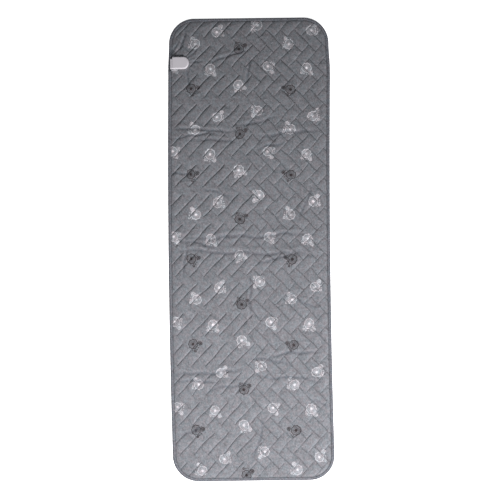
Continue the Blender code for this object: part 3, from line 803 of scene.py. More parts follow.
class Grain(Enum):
    """The fine structure of a surface."""

    WOVEN = "woven"
    MOULDED = "moulded"
    METAL = "metal"

    def group(self) -> bpy.types.NodeTree:
        """The node group for this grain, made once.

        Returns:
            The group.
        """
        name = "grain_" + self.value
        found = bpy.data.node_groups.get(name)
        if found:
            return found
        group, nodes, source, result = new_group(name)
        vector, color, rough = source.outputs["Vector"], source.outputs["Color"], source.outputs["Roughness"]
        if self is Grain.WOVEN:
            warp = nodes.noise(nodes.scaled(vector, (1.0, 0.16, 1.0)), 900.0, 1.0)
            weft = nodes.noise(nodes.scaled(vector, (0.16, 1.0, 1.0)), 900.0, 1.0)
            fleck = nodes.plus(warp, weft)
            cloud = nodes.noise(vector, 42.0, 3.0, 0.6)
            slub = nodes.noise(nodes.scaled(vector, (1.0, 0.5, 1.0), 0.7), 330.0, 2.0)
            x, y, _ = nodes.split(vector)
            thread = nodes.times(nodes.wave(x, 0.0011), nodes.wave(y, 0.0011))
            mottle = nodes.noise(vector, 120.0, 2.0, 0.6)
            shade = nodes.plus(nodes.times(fleck, 0.90), nodes.times(cloud, 0.60))
            shade = nodes.plus(shade, nodes.times(slub, 0.95))
            shade = nodes.plus(shade, nodes.times(mottle, 0.75))
            shade = nodes.plus(shade, -1.055)
            tone = nodes.add("ShaderNodeCombineColor")
            for place in range(3):
                nodes.feed(tone.inputs[place], shade)
            toned = nodes.mix(1.0, color, tone.outputs[0], "MULTIPLY")
            hue = nodes.step(nodes.noise(vector, 75.0, 3.0), 0.30, 0.70)
            cast = nodes.mix(hue, (0.935, 1.01, 1.035, 1.0), (1.05, 0.995, 1.005, 1.0))
            out = nodes.mix(1.0, toned, cast, "MULTIPLY")
            height = nodes.plus(nodes.times(thread, 0.25), nodes.times(fleck, 0.5))
            spread = nodes.plus(rough, nodes.times(cloud, 0.08), clamp=True)
        elif self is Grain.MOULDED:
            spark = nodes.noise(vector, 1600.0, 2.0)
            cloud = nodes.noise(vector, 60.0, 3.0)
            patches = nodes.mix(cloud, (0.35, 0.35, 0.36, 1.0), (0.95, 0.94, 0.96, 1.0))
            tint = nodes.mix(0.10, color, patches, "MULTIPLY")
            out = nodes.mix(nodes.times(spark, 0.12), tint, (0.0, 0.0, 0.0, 1.0))
            height = spark
            spread = nodes.plus(rough, nodes.times(nodes.minus(cloud, 0.5), 0.25), clamp=True)
        else:
            brushed = nodes.noise(nodes.scaled(vector, (1.0, 14.0, 1.0)), 400.0, 3.0)
            tarnish = nodes.noise(vector, 180.0, 3.0, 0.6)
            stained = nodes.step(tarnish, 0.45, 0.75)
            dull = nodes.mix(0.5, color, (0.10, 0.08, 0.06, 1.0))
            out = nodes.mix(stained, color, dull)
            height = brushed
            spread = nodes.plus(rough, nodes.times(brushed, 0.2), clamp=True)
        nodes.feed(result.inputs["Color"], out)
        nodes.feed(result.inputs["Roughness"], spread)
        nodes.feed(result.inputs["Height"], height)
        return group


@dataclass(frozen=True)
class Finish:
    """A surface finish.

    Attributes:
        name: the material's name.
        color: its linear colour.
        grain: its fine structure.
        roughness: its base roughness.
        metallic: how metallic it is.
        sheen: how much soft sheen it has.
        bump: the height of its grain, in metres.
        rested: whether it reads the cloth's own coordinates.
        relief: the height of its seams, dots or ribs, in metres.
    """

    name: str
    color: tuple[float, float, float]
    grain: Grain = Grain.MOULDED
    roughness: float = 0.5
    metallic: float = 0.0
    sheen: float = 0.0
    bump: float = 0.00004
    rested: bool = False
    relief: float = 0.0012

    def base(self, nodes: Nodes) -> tuple[object, object]:
        """The colour and extra height before the grain is laid over them.

        Args:
            nodes: the material's builder.

        Returns:
            The colour and the height, each a socket or a value.
        """
        return (*self.color, 1.0), None

    def material(self) -> bpy.types.Material:
        """The finish as a material, made once.

        Returns:
            The material.
        """
        title = self.name + "_finish"
        found = bpy.data.materials.get(title)
        if found:
            return found
        made = bpy.data.materials.new(title)
        made.use_nodes = True
        nodes = Nodes(made.node_tree)
        shader = made.node_tree.nodes["Principled BSDF"]
        place = nodes.attribute("rest") if self.rested else nodes.add("ShaderNodeTexCoord").outputs["Object"]
        color, extra = self.base(nodes)
        grain = nodes.add("ShaderNodeGroup", node_tree=self.grain.group())
        nodes.feed(grain.inputs["Vector"], place)
        nodes.feed(grain.inputs["Color"], color)
        nodes.feed(grain.inputs["Roughness"], self.roughness)
        nodes.feed(shader.inputs["Base Color"], grain.outputs["Color"])
        nodes.feed(shader.inputs["Roughness"], grain.outputs["Roughness"])
        shader.inputs["Metallic"].default_value = self.metallic
        shader.inputs["Sheen Weight"].default_value = self.sheen
        shader.inputs["Specular IOR Level"].default_value = 0.25 if self.grain is Grain.WOVEN else 0.5
        bump = nodes.add("ShaderNodeBump")
        bump.inputs["Distance"].default_value = self.bump
        nodes.feed(bump.inputs["Height"], grain.outputs["Height"])
        if extra is not None:
            relief = nodes.add("ShaderNodeBump")
            relief.inputs["Distance"].default_value = self.relief
            nodes.feed(relief.inputs["Height"], extra)
            nodes.feed(bump.inputs["Normal"], relief.outputs["Normal"])
        nodes.feed(shader.inputs["Normal"], bump.outputs["Normal"])
        return made


@dataclass(frozen=True)
class PrintedCloth(Finish):
    """The cover's heathered cloth with its seams, printed blossoms and painted shade."""

    def blossom(self, nodes: Nodes) -> tuple[Socket, Socket]:
        """The printed share of the cloth, and which ink.

        Args:
            nodes: the material's builder.

        Returns:
            The printed share and the share of dark ink.
        """
        along, off, dark = nodes.split(nodes.attribute("motif"))
        rest = nodes.attribute("rest")
        wobble = nodes.times(nodes.minus(nodes.noise(rest, 260.0), 0.5), 0.0022)

        def far(x: float, y: float) -> Socket:
            """A slightly uneven distance from a place in the blossom.

            Args:
                x: the place along the blossom.
                y: the place across it.

            Returns:
                The distance in metres.
            """
            dx = nodes.minus(along, x)
            dy = nodes.minus(off, y)
            square = nodes.plus(nodes.times(dx, dx), nodes.times(dy, dy))
            return nodes.plus(nodes.math("SQRT", square), wobble)

        def disc(x: float, y: float, radius: float) -> Socket:
            """A soft-edged disc."""
            return nodes.step(far(x, y), radius + 0.0012, radius - 0.0012)

        def ring(radius: float, width: float, strength: float) -> Socket:
            """A scalloped ring round the blossom's middle."""
            off_ring = nodes.math("ABSOLUTE", nodes.minus(scalloped, radius))
            return nodes.times(nodes.step(off_ring, width + 0.0009, width - 0.0009), strength)

        def rim(x: float, y: float, radius: float, strength: float) -> Socket:
            """A thin circle round a bud."""
            off_rim = nodes.math("ABSOLUTE", nodes.minus(far(x, y), radius))
            return nodes.times(nodes.step(off_rim, 0.0016, 0.0004), strength)

        def rays(count: int, low: float, high: float, strength: float) -> Socket:
            """Short rays in a band round the blossom's middle.

            Args:
                count: how many there are.
                low: the radius where they start.
                high: the radius where they end.
                strength: how much ink they carry.

            Returns:
                Their printed share.
            """
            beat = nodes.step(nodes.math("SINE", nodes.times(turn, float(count))), -0.2, 0.5)
            band = nodes.times(nodes.step(reach, low, low + 0.001), nodes.step(reach, high, high - 0.001))
            return nodes.times(nodes.times(beat, band), strength)

        reach = far(0.0, 0.0)
        turn = nodes.math("ARCTAN2", off, along)
        lobes = nodes.times(nodes.math("SINE", nodes.times(turn, 9.0)), 0.0009)
        scalloped = nodes.plus(reach, lobes)
        marks = [
            nodes.times(nodes.step(reach, 0.0090, 0.0010), 0.98),
            nodes.times(disc(0.0, 0.0, 0.0170), 0.12),
            ring(0.0106, 0.0010, 0.34),
            ring(0.0178, 0.0014, 0.60),
            rays(18, 0.0060, 0.0098, 0.30),
            rays(27, 0.0122, 0.0168, 0.24),
            nodes.times(disc(0.0280, 0.0, 0.0066), 0.30),
            nodes.times(nodes.step(far(0.0280, 0.0), 0.0045, 0.0010), 0.62),
            rim(0.0280, 0.0, 0.0064, 0.66),
            nodes.times(disc(0.004, 0.0262, 0.0042), 0.26),
            rim(0.004, 0.0262, 0.0042, 0.55),
        ]
        dots = (
            (0.0228, 0.0072, 0.0020, 0.48),
            (0.0124, 0.0218, 0.0023, 0.55),
            (0.0190, 0.0156, 0.0020, 0.48),
            (-0.0054, 0.0228, 0.0020, 0.42),
            (0.0222, -0.0086, 0.0020, 0.42),
        )
        marks += [nodes.times(disc(x, y, radius), strength) for x, y, radius, strength in dots]
        total = marks[0]
        for mark in marks[1:]:
            total = nodes.math("MAXIMUM", total, mark)
        worn = nodes.step(nodes.noise(rest, 700.0, 2.0), 0.22, 0.50)
        total = nodes.times(total, nodes.plus(nodes.times(worn, 0.30), 0.70))
        total = nodes.times(total, nodes.plus(1.0, nodes.times(dark, 1.1)), clamp=True)
        # the pale ink is painted weaker towards the foot, to offset the stronger light there; dark ink keeps
        # its strength
        place = nodes.split(rest)[1]
        fade = 0.34
        pale_share = nodes.minus(fade, nodes.times(dark, fade))
        dimmer_to_foot = nodes.minus(1.0, nodes.times(nodes.step(place, 0.6, -0.9), pale_share))
        total = nodes.times(total, dimmer_to_foot)
        return nodes.times(total, nodes.attribute("near", "Fac")), dark

    def base(self, nodes: Nodes) -> tuple[object, object]:
        """The printed colour, the seams' stitches and painted shade in the seam valleys, the creases and
        along the tape's inner edge.

        Args:
            nodes: the material's builder.

        Returns:
            The colour and the relief height.
        """
        printed, dark = self.blossom(nodes)
        ink = nodes.mix(dark, (*Ink.PALE.value, 1.0), (*Ink.DARK.value, 1.0))
        cloth = nodes.mix(printed, (*self.color, 1.0), ink)
        seam = nodes.attribute("seam", "Fac")
        # valley is the seams' grooves: it sinks them in the relief and also darkens them as painted shade
        valley = nodes.times(nodes.step(seam, 0.0026, 0.0), nodes.attribute("tight", "Fac"))
        line = nodes.step(seam, 0.0009, 0.0003)
        stitch = 0.0042
        thread = nodes.times(line, nodes.step(nodes.wave(nodes.attribute("track", "Fac"), stitch), -0.4, 0.1))
        # painted shade: the seam valleys are darkened in colour
        painted_shade_cloth = nodes.mix(nodes.times(valley, 0.36), cloth, (0.03, 0.033, 0.040, 1.0))
        # painted shade: the crease valleys are darkened in colour, a little blue
        crease = nodes.times(nodes.attribute("crease", "Fac"), 0.40)
        painted_shade_cloth = nodes.mix(crease, painted_shade_cloth, (0.035, 0.042, 0.055, 1.0))
        # painted shadow: a dark line along the tape's inner edge, where the cover dips under the tape
        hem = nodes.times(nodes.step(nodes.attribute("hem", "Fac"), 0.0165, 0.0125), 0.55)
        painted_shade_cloth = nodes.mix(hem, painted_shade_cloth, (0.02, 0.022, 0.028, 1.0))
        color = nodes.mix(nodes.times(thread, 0.25), painted_shade_cloth, (0.20, 0.205, 0.22, 1.0))
        relief = nodes.minus(nodes.times(thread, 0.2), valley)
        return color, relief


@dataclass(frozen=True)
class GripCloth(Finish):
    """The underside's cloth with small raised grip dots."""

    def base(self, nodes: Nodes) -> tuple[object, object]:
        """The cloth's colour and the dots' relief.

        Args:
            nodes: the material's builder.

        Returns:
            The colour and the relief height.
        """
        x, y, _ = nodes.split(nodes.attribute("rest"))
        dots = nodes.times(nodes.wave(x, 0.012), nodes.wave(y, 0.012))
        dots = nodes.step(dots, 0.55, 0.75)
        color = nodes.mix(dots, (*self.color, 1.0), (0.035, 0.035, 0.04, 1.0))
        return color, dots


@dataclass(frozen=True)
class TapeCloth(Finish):
    """The edge tape's ribbed cloth."""

    def base(self, nodes: Nodes) -> tuple[object, object]:
        """The tape's colour and its ribs.

        Args:
            nodes: the material's builder.

        Returns:
            The colour and the relief height.
        """
        rib = nodes.wave(nodes.attribute("track", "Fac"), 0.0016)
        worn = nodes.noise(nodes.attribute("rest"), 90.0, 3.0)
        dull = [c * 0.84 for c in self.color]
        fresh = [c * 1.14 for c in self.color]
        color = nodes.mix(worn, (*dull, 1.0), (*fresh, 1.0))
        return color, nodes.times(rib, 0.16)


COVER = PrintedCloth(
    "quilted_cover", (0.122, 0.126, 0.136), Grain.WOVEN, 0.88, sheen=0.08, bump=0.00022, rested=True
)
TAPE = TapeCloth(
    "edge_binding", (0.098, 0.103, 0.116), Grain.WOVEN, 0.85, sheen=0.05, bump=0.00015, rested=True
)
THREAD = TapeCloth("stitch_thread", (0.165, 0.17, 0.185), Grain.WOVEN, 0.7, bump=0.00008, rested=True)
UNDERSIDE = GripCloth("backing", (0.075, 0.078, 0.085), Grain.WOVEN, 0.92, bump=0.0002, rested=True)
SHELL = Finish("housing", (0.47, 0.46, 0.49), Grain.MOULDED, 0.50, bump=0.00003)
INSERT = Finish("socket_insert", (0.030, 0.030, 0.034), Grain.MOULDED, 0.45)
BOARD = Finish("terminal_board", (0.30, 0.20, 0.09), Grain.MOULDED, 0.55)
CLAMP = Finish("lead_clamp", (0.034, 0.034, 0.036), Grain.MOULDED, 0.6)
PIN = Finish("contact_pin", (0.78, 0.70, 0.52), Grain.METAL, 0.25, metallic=1.0, bump=0.00001)
CRIMP = Finish("crimp_terminal", (0.62, 0.60, 0.56), Grain.METAL, 0.3, metallic=1.0, bump=0.00001)
SCREW = Finish("screw", (0.55, 0.55, 0.57), Grain.METAL, 0.32, metallic=1.0, bump=0.00001)
BROWN = Finish("lead_brown", (0.12, 0.05, 0.02), Grain.MOULDED, 0.45)
BLUE = Finish("lead_blue", (0.02, 0.06, 0.26), Grain.MOULDED, 0.45)
WHITE = Finish("lead_white", (0.72, 0.72, 0.70), Grain.MOULDED, 0.45)
CUTOUT = Finish("thermal_cutout", (0.52, 0.50, 0.42), Grain.MOULDED, 0.5)
SLEEVE = Finish("splice_sleeve", (0.03, 0.03, 0.03), Grain.MOULDED, 0.6)
BEAD = Finish("sensor_bead", (0.028, 0.028, 0.03), Grain.MOULDED, 0.3)

CAD_FINISHES: dict[str, Finish] = {
    "connector_base": SHELL,
    "connector_lid": SHELL,
    "socket_insert": INSERT,
    "terminal_board": BOARD,
    "lead_clamp": CLAMP,
    "contact_pin": PIN,
    "crimp_terminal": CRIMP,
    "clamp_screw": SCREW,
    "housing_screw": SCREW,
    "cold_lead_live": BROWN,
    "cold_lead_neutral": BLUE,
    "sensor_lead": WHITE,
    "thermal_cutout": CUTOUT,
    "splice_sleeve": SLEEVE,
    "sensor_bead": BEAD,
}


@dataclass(frozen=True)
class Fold:
    """How a stretch of cloth crosses one fold line.

    Attributes:
        name: the stretch's name.
        low: its lower end along the mat.
        high: its upper end along the mat.
        first: the body on its side towards the foot.
        second: the body on its side towards the head.
        start: where the bend starts along the mat.
        end: where the bend ends along the mat.
        panels: the CAD panels whose cloth nodes it stands for.
    """

    name: str
    low: float
    high: float
    first: str
    second: str
    start: float
    end: float
    panels: tuple[str, ...]

    def bend(self, piece: bpy.types.Object) -> None:
        """Bake a piece's placement into its mesh; the piece is not bent.

        Args:
            piece: the cloth piece.
        """
        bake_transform(piece)


FOLDS: tuple[Fold, ...] = (
    Fold("head", 0.225, 0.90, "upper_panel", "head_panel", 0.438, 0.462, ("head",)),
    Fold("middle", -0.225, 0.225, "lower_panel", "upper_panel", -0.020, 0.020, ("upper", "lower")),
    Fold("foot", -0.90, -0.225, "foot_panel", "lower_panel", -0.460, -0.440, ("foot",)),
)


FOLD_ROWS = 13  # extra rows of mesh across one fold
LIFT_LEAST = 0.0006  # how far every fold's lower face is drawn up
LIFT_SHARE = 0.045  # what is added to that, as a share of half the bend's length
LIFT_REACH = 1.6  # where the lift has run out, in halves of the bend's length
LIFT_RAMP = 0.6  # how long it takes to run out, in the same measure


def fold_rows(low: float, high: float) -> Array:
    """Extra places along the mat where the cloth has to turn round a fold.

    Args:
        low: the stretch's lower end.
        high: the stretch's upper end.

    Returns:
        The places inside the stretch.
    """
    rows = np.concatenate([np.linspace(fold.start, fold.end, FOLD_ROWS) for fold in FOLDS])
    return rows[(rows > low) & (rows < high)]


def fold_lift(y: Array) -> Array:
    """How far the cloth's lower face is drawn up at the fold lines, so that a turn stays off the floor.

    Args:
        y: places along the mat.

    Returns:
        Heights in metres.
    """
    total = np.zeros_like(y)
    for fold in FOLDS:
        middle, half = (fold.start + fold.end) / 2, (fold.end - fold.start) / 2
        share = np.clip((LIFT_REACH * half - np.abs(y - middle)) / (LIFT_RAMP * half), 0, 1)
        lift = (LIFT_LEAST + LIFT_SHARE * half) * share * share * (3 - 2 * share)
        total = np.maximum(total, lift)
    return total


def make_mesh(
    name: str, points: Array, faces: Array, rest: Array, layers: dict[str, Array]
) -> bpy.types.Object:
    """A smooth mesh object with its cloth coordinates.

    Args:
        name: the object's name.
        points: vertex places.
        faces: rows of three or four vertex numbers.
        rest: the cloth coordinates of each vertex.
        layers: further float or vector attributes.

    Returns:
        The object.
    """
    mesh = bpy.data.meshes.new(name)
    size = faces.shape[1]
    mesh.vertices.add(len(points))
    mesh.vertices.foreach_set("co", points.astype(np.float32).ravel())
    mesh.loops.add(faces.size)
    mesh.loops.foreach_set("vertex_index", faces.astype(np.int32).ravel())
    mesh.polygons.add(len(faces))
    mesh.polygons.foreach_set("loop_start", np.arange(0, faces.size, size, dtype=np.int32))
    mesh.update(calc_edges=True)
    mesh.validate()
    for label, values in {"rest": rest, **layers}.items():
        kind, slot = ("FLOAT_VECTOR", "vector") if values.ndim == 2 else ("FLOAT", "value")
        layer = mesh.attributes.new(label, kind, "POINT")
        layer.data.foreach_set(slot, values.astype(np.float32).ravel())
    mesh.shade_smooth()
    made = bpy.data.objects.new(name, mesh)
    bpy.context.scene.collection.objects.link(made)
    return made


def keep_used(points: Array, faces: Array, layers: list[Array]) -> tuple[Array, Array, list[Array]]:
    """Drop the vertices that no face uses.

    Args:
        points: vertex places.
        faces: rows of vertex numbers.
        layers: values for each vertex.

    Returns:
        The kept places, the renumbered faces and the kept values.
    """
    used = np.unique(faces)
    number = np.zeros(len(points), int)
    number[used] = np.arange(len(used))
    return points[used], number[faces], [layer[used] for layer in layers]


@dataclass
class ClothPart:
    """A part made of cloth pieces, one for each fold.

    Attributes:
        housing: the socket housing.
        mat: overall sizes.
        made: the pieces, by fold name.
    """

    housing: Housing
    mat: MatSize = MatSize()
    made: dict[str, bpy.types.Object] = field(default_factory=dict)

    def lattice(self, low: float, high: float, step: float, origin: float) -> Array:
        """Evenly spaced places that keep both ends.

        Args:
            low: first place.
            high: last place.
            step: the spacing.
            origin: a place that the spacing passes through.

        Returns:
            The places.
        """
        first = math.ceil((low - origin) / step + 0.4)
        last = math.floor((high - origin) / step - 0.4)
        middle = origin + step * np.arange(first, last + 1)
        return np.concatenate([[low], middle, [high]])

    def keep(self, piece: bpy.types.Object, fold: Fold, finish: Finish) -> bpy.types.Object:
        """Dress a piece, bake its placement into its mesh and keep it.

        Args:
            piece: the piece.
            fold: the fold that it crosses.
            finish: its finish.

        Returns:
            The piece.
        """
        piece.data.materials.append(finish.material())
        fold.bend(piece)
        self.made[fold.name] = piece
        LOG.info("%s: %d faces", piece.name, len(piece.data.polygons))
        return piece


@dataclass
class QuiltedCover(ClothPart):
    """The printed, quilted top of the mat.

    Attributes:
        printing: the printed repeat.
        cells: mesh cells in half a repeat of the quilting.
        pull: how far the sewing has pulled the cloth out of line.
        tuck: how far inside the mat's edge the cloth ends.
        held: how far inside the mat's edge it is held in line.
        ease: the distance over which the pull sets in.
    """

    printing: Print = Print()
    cells: int = 13
    pull: float = 0.0032
    tuck: float = 0.004
    held: float = 0.014
    ease: float = 0.05

    def build(self) -> None:
        """Make the cover of each fold."""
        for fold in FOLDS:
            cover = self.keep(self.stretch(fold), fold, COVER)
            for panel in fold.panels:
                layers = ("quilted_cover_", "wadding_", "wire_carrier_", "insulation_felt_", "heating_wire_")
                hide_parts(*[layer + panel for layer in layers])
                if panel != "foot":
                    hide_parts("return_wire_" + panel)

    def stretch(self, fold: Fold) -> bpy.types.Object:
        """The cover over one fold.

        Args:
            fold: the fold.

        Returns:
            The piece.
        """
        shape = QuiltShape(self.housing, self.mat)
        quilting = shape.quilting
        half = self.mat.width / 2 - self.tuck
        low = max(fold.low, -self.mat.length / 2 + self.tuck)
        high = min(fold.high, self.mat.length / 2 - self.tuck)
        xs = self.lattice(-half, half, quilting.across / 2 / self.cells, quilting.origin[0])
        ys = self.lattice(low, high, quilting.along / 4 / self.cells, quilting.origin[1])
        ys = np.union1d(ys, fold_rows(low, high))
        x, y = (grid.ravel() for grid in np.meshgrid(xs, ys))
        z = shape.height(x, y)
        near, track, *_ = quilting.place(x, y)
        local, close = self.printing.place(x, y)
        rows, columns = len(ys), len(xs)
        corner = (np.arange(rows - 1)[:, None] * columns + np.arange(columns - 1)).ravel()
        a, b, c, d = corner, corner + 1, corner + 1 + columns, corner + columns
        slash = (z[a] + z[c] < z[b] + z[d])[:, None]
        one = np.where(slash, np.stack([a, b, c], 1), np.stack([a, b, d], 1))
        two = np.where(slash, np.stack([a, c, d], 1), np.stack([b, c, d], 1))
        faces = np.concatenate([one, two])
        keep = ~self.hidden(x, y)[faces].any(axis=1)
        rest = np.stack([x, y, z], 1)
        free = np.clip((self.mat.edge_distance(x, y) - self.held) / self.ease, 0, 1)
        free = free * np.clip((self.housing.distance(x, y) - 0.008) / self.ease, 0, 1) * self.pull
        moved_x, moved_y = (free * Noise(seed, 0.048).at(x, y) for seed in (61, 62))
        points = np.stack([self.mat.laid(x + moved_x, y), y + moved_y, z], 1)
        points, faces, kept = keep_used(points, faces[keep], [rest, local, close, near, track])
        rest, local, close, near, track = kept
        # painted shade: how far each point lies in a crease valley, darkened in the cover's colour
        crease_shade_share = np.max([crease.shade(rest[:, 0], rest[:, 1]) for crease in CREASES], axis=0)
        # the distance inside the outline, which places the painted shadow along the tape's inner edge
        hem = self.mat.edge_distance(rest[:, 0], rest[:, 1])
        layers = {
            "motif": local,
            "near": close,
            "seam": near,
            "track": track,
            "crease": crease_shade_share,
            "hem": hem,
            "tight": quilting.tightness(rest[:, 0], rest[:, 1]),
        }
        return make_mesh("quilt_" + fold.name, points, faces, rest, layers)

    def hidden(self, x: Array, y: Array) -> Array:
        """Which points lie outside the cloth or well under the housing.

        Args:
            x: places across the mat.
            y: places along the mat.

        Returns:
            True for each hidden point.
        """
        under = self.housing.distance(x, y) < -0.0032
        flat = (self.housing.dip(x, y) > 0.05) & (x < -self.mat.width / 2 + self.mat.tape - 0.0005)
        return (self.mat.edge_distance(x, y) < 0.0045) | under | flat


@dataclass
class Underside(ClothPart):
    """The cloth that the mat lies on.

    Attributes:
        step: the mesh's spacing.
        rise: how far the cloth's middle hangs clear of the floor.
        ripple: the height of its ripples.
        hem: how far inside the mat's edge it is held flat.
        hem_rise: its height there.
        cut: how far inside the mat's edge it ends.
    """

    step: float = 0.009
    rise: float = 0.0005
    ripple: float = 0.0003
    hem: float = 0.016
    hem_rise: float = 0.0009
    cut: float = 0.0095

    def build(self) -> None:
        """Make the underside of each fold."""
        half = self.mat.width / 2 - self.mat.tape + 0.002
        for fold in FOLDS:
            low = max(fold.low, -self.mat.length / 2 + 0.010)
            high = min(fold.high, self.mat.length / 2 - 0.010)
            xs = self.lattice(-half, half, self.step, 0.0)
            ys = np.union1d(self.lattice(low, high, self.step * 0.6, 0.0), fold_rows(low, high))
            x, y = (grid.ravel() for grid in np.meshgrid(xs, ys))
            z = self.rise + self.ripple * Noise(11, 0.03).at(x, y)
            z = np.where(self.mat.edge_distance(x, y) < self.hem, self.hem_rise, z) + fold_lift(y)
            columns = len(xs)
            corner = (np.arange(len(ys) - 1)[:, None] * columns + np.arange(columns - 1)).ravel()
            faces = np.stack([corner, corner + columns, corner + columns + 1, corner + 1], 1)
            keep = (self.mat.edge_distance(x, y)[faces] > self.cut).all(axis=1)
            rest = np.stack([x, y, z], 1)
            points = np.stack([self.mat.laid(x, y), y, z], 1)
            points, faces, (rest,) = keep_used(points, faces[keep], [rest])
            piece = self.keep(make_mesh("underside_" + fold.name, points, faces, rest, {}), fold, UNDERSIDE)
            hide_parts(*["backing_" + panel for panel in fold.panels])

    def declare(self, tape: EdgeTape) -> None:
        """Do nothing: the underside's flat cut is not stated.

        Args:
            tape: the tape round it; not used.
        """


@dataclass
class EdgeTape(ClothPart):
    """The tape bound round the mat's edge, with its row of stitches.

    Attributes:
        top: the tape's height.
        spacing: distance between its mesh's stations.
        stitch_line: how far the stitches are from the edge.
        stitch_pitch: distance between stitches.
        stitch_sink: how far the stitches are sunk in the tape.
        flatten: share of its height that the housing presses out of it.
        stitches: the rows of stitches, by fold name.
    """

    top: float = 0.0082
    spacing: float = 0.005
    stitch_line: float = 0.0085
    stitch_pitch: float = 0.0065
    stitch_sink: float = 0.0001
    flatten: float = 0.70
    stitches: dict[str, bpy.types.Object] = field(default_factory=dict)

    def stations(self, fold: Fold, spacing: float, finer: bool) -> list[Array]:
        """Places round the mat's edge along one stretch.

        Args:
            fold: the stretch.
            spacing: the distance between places.
            finer: whether the fold lines have extra places.

        Returns:
            For each unbroken run, rows of (x, y, inward x, inward y, distance).
        """
        half, end = self.mat.width / 2, self.mat.length / 2
        if fold.name == "middle":
            count = max(2, round((fold.high - fold.low) / spacing))
            y = np.linspace(fold.low, fold.high, count)
            if finer:
                y = np.union1d(y, fold_rows(fold.low, fold.high))
            runs = []
            for side in (-1, 1):
                one = np.ones_like(y)
                runs.append(np.stack([side * half * one, y, -side * one, 0 * one, y - fold.low], 1))
            return runs
        sign = 1 if fold.name == "head" else -1
        cut = abs(fold.low if sign > 0 else fold.high)
        radius = self.mat.corner
        straight, arc, across = end - radius - cut, radius * math.pi / 2, 2 * (half - radius)
        total = 2 * (straight + arc) + across
        rows = []
        places = np.linspace(0, total, round(total / spacing))
        if finer:
            turn_rows = np.abs(fold_rows(fold.low, fold.high)) - cut
            places = np.union1d(places, np.concatenate([turn_rows, total - turn_rows]))
        for s in places:
            t, side = (s, -1) if s < total / 2 else (total - s, 1)
            if t < straight:
                x, y, in_x, in_y = half, cut + t, -1.0, 0.0
            elif t < straight + arc:
                turn = (t - straight) / radius
                in_x, in_y = -math.cos(turn), -math.sin(turn)
                x, y = half - radius - radius * in_x, end - radius - radius * in_y
            else:
                x, y, in_x, in_y = half - radius - (t - straight - arc), end, 0.0, -1.0
            rows.append((side * x, sign * y, side * in_x, sign * in_y, s))
        return [np.array(rows)]

    def tops(self, run: Array) -> Array:
        """The tape's height share at each station.

        Args:
            run: the stations.

        Returns:
            1 at full height, less where the housing presses it flat.
        """
        x, y = run[:, 0], run[:, 1]
        return (1 - self.flatten * self.housing.dip(x, y)) * (1 + 0.05 * Noise(21, 0.03).at(x, y))

    def build(self) -> None:
        """Make the tape and stitches of each fold."""
        top = self.top
        profile = np.array([
            (0.0118, 0.0), (0.0040, 0.0), (0.0012, 0.0003), (0.0001, 0.0016), (0.0, 0.0042),
            (0.0006, top - 0.0013), (0.0022, top - 0.0002), (0.0060, top + 0.0001), (0.0095, top - 0.0001),
            (0.0117, top - 0.0005), (0.0120, top - 0.0011), (0.0092, top - 0.0010), (0.0030, top - 0.0010),
            (0.0012, top - 0.0020), (0.0010, 0.0020), (0.0020, 0.0010), (0.0118, 0.0008),
        ])
        for fold in FOLDS:
            points, faces, rest, track = [], [], [], []
            size = len(profile)
            start = 0
            for run in self.stations(fold, self.spacing, True):
                tall = self.tops(run)
                width = 1 + 0.035 * Noise(22, 0.025).at(run[:, 0], run[:, 1])
                inset = profile[None, :, 0] * np.where(profile[None, :, 0] > 0.006, width[:, None], 1.0)
                x = run[:, 0:1] + run[:, 2:3] * inset
                y = run[:, 1:2] + run[:, 3:4] * inset
                z = profile[None, :, 1] * tall[:, None]
                z = z + fold_lift(run[:, 1])[:, None] * (1 - profile[None, :, 1] / top)
                points.append(np.stack([self.mat.laid(x, y), y, z], -1).reshape(-1, 3))
                rest.append(np.stack([x, y, z], -1).reshape(-1, 3))
                track.append(np.repeat(run[:, 4], size))
                step = np.arange(len(run) - 1)[:, None] * size + start
                k = np.arange(size)
                n = (k + 1) % size
                quad = np.stack([step + k, step + n, step + n + size, step + k + size], -1).reshape(-1, 4)
                faces.append(quad)
                start += len(run) * size
            name = "edge_tape_" + fold.name
            joined = [np.concatenate(rows) for rows in (points, faces, rest)]
            made = make_mesh(name, *joined, {"track": np.concatenate(track)})
            piece = self.keep(self.outward(made), fold, TAPE)
            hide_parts(*self.replaced(fold))
            self.stitch(fold)

    def outward(self, made: bpy.types.Object) -> bpy.types.Object:
        """Turn a tape's faces to face out.

        Args:
            made: the tape.

        Returns:
            The same tape.
        """
        shape = bmesh.new()
        shape.from_mesh(made.data)
        bmesh.ops.recalc_face_normals(shape, faces=shape.faces)
        shape.to_mesh(made.data)
        shape.free()
        return made

    def replaced(self, fold: Fold) -> list[str]:
        """The CAD tapes that a stretch stands for.

        Args:
            fold: the stretch.

        Returns:
            Node names.
        """
        if fold.name != "middle":
            return ["edge_binding_" + fold.name]
        return [f"edge_binding_{panel}_{side}" for panel in fold.panels for side in ("left", "right")]

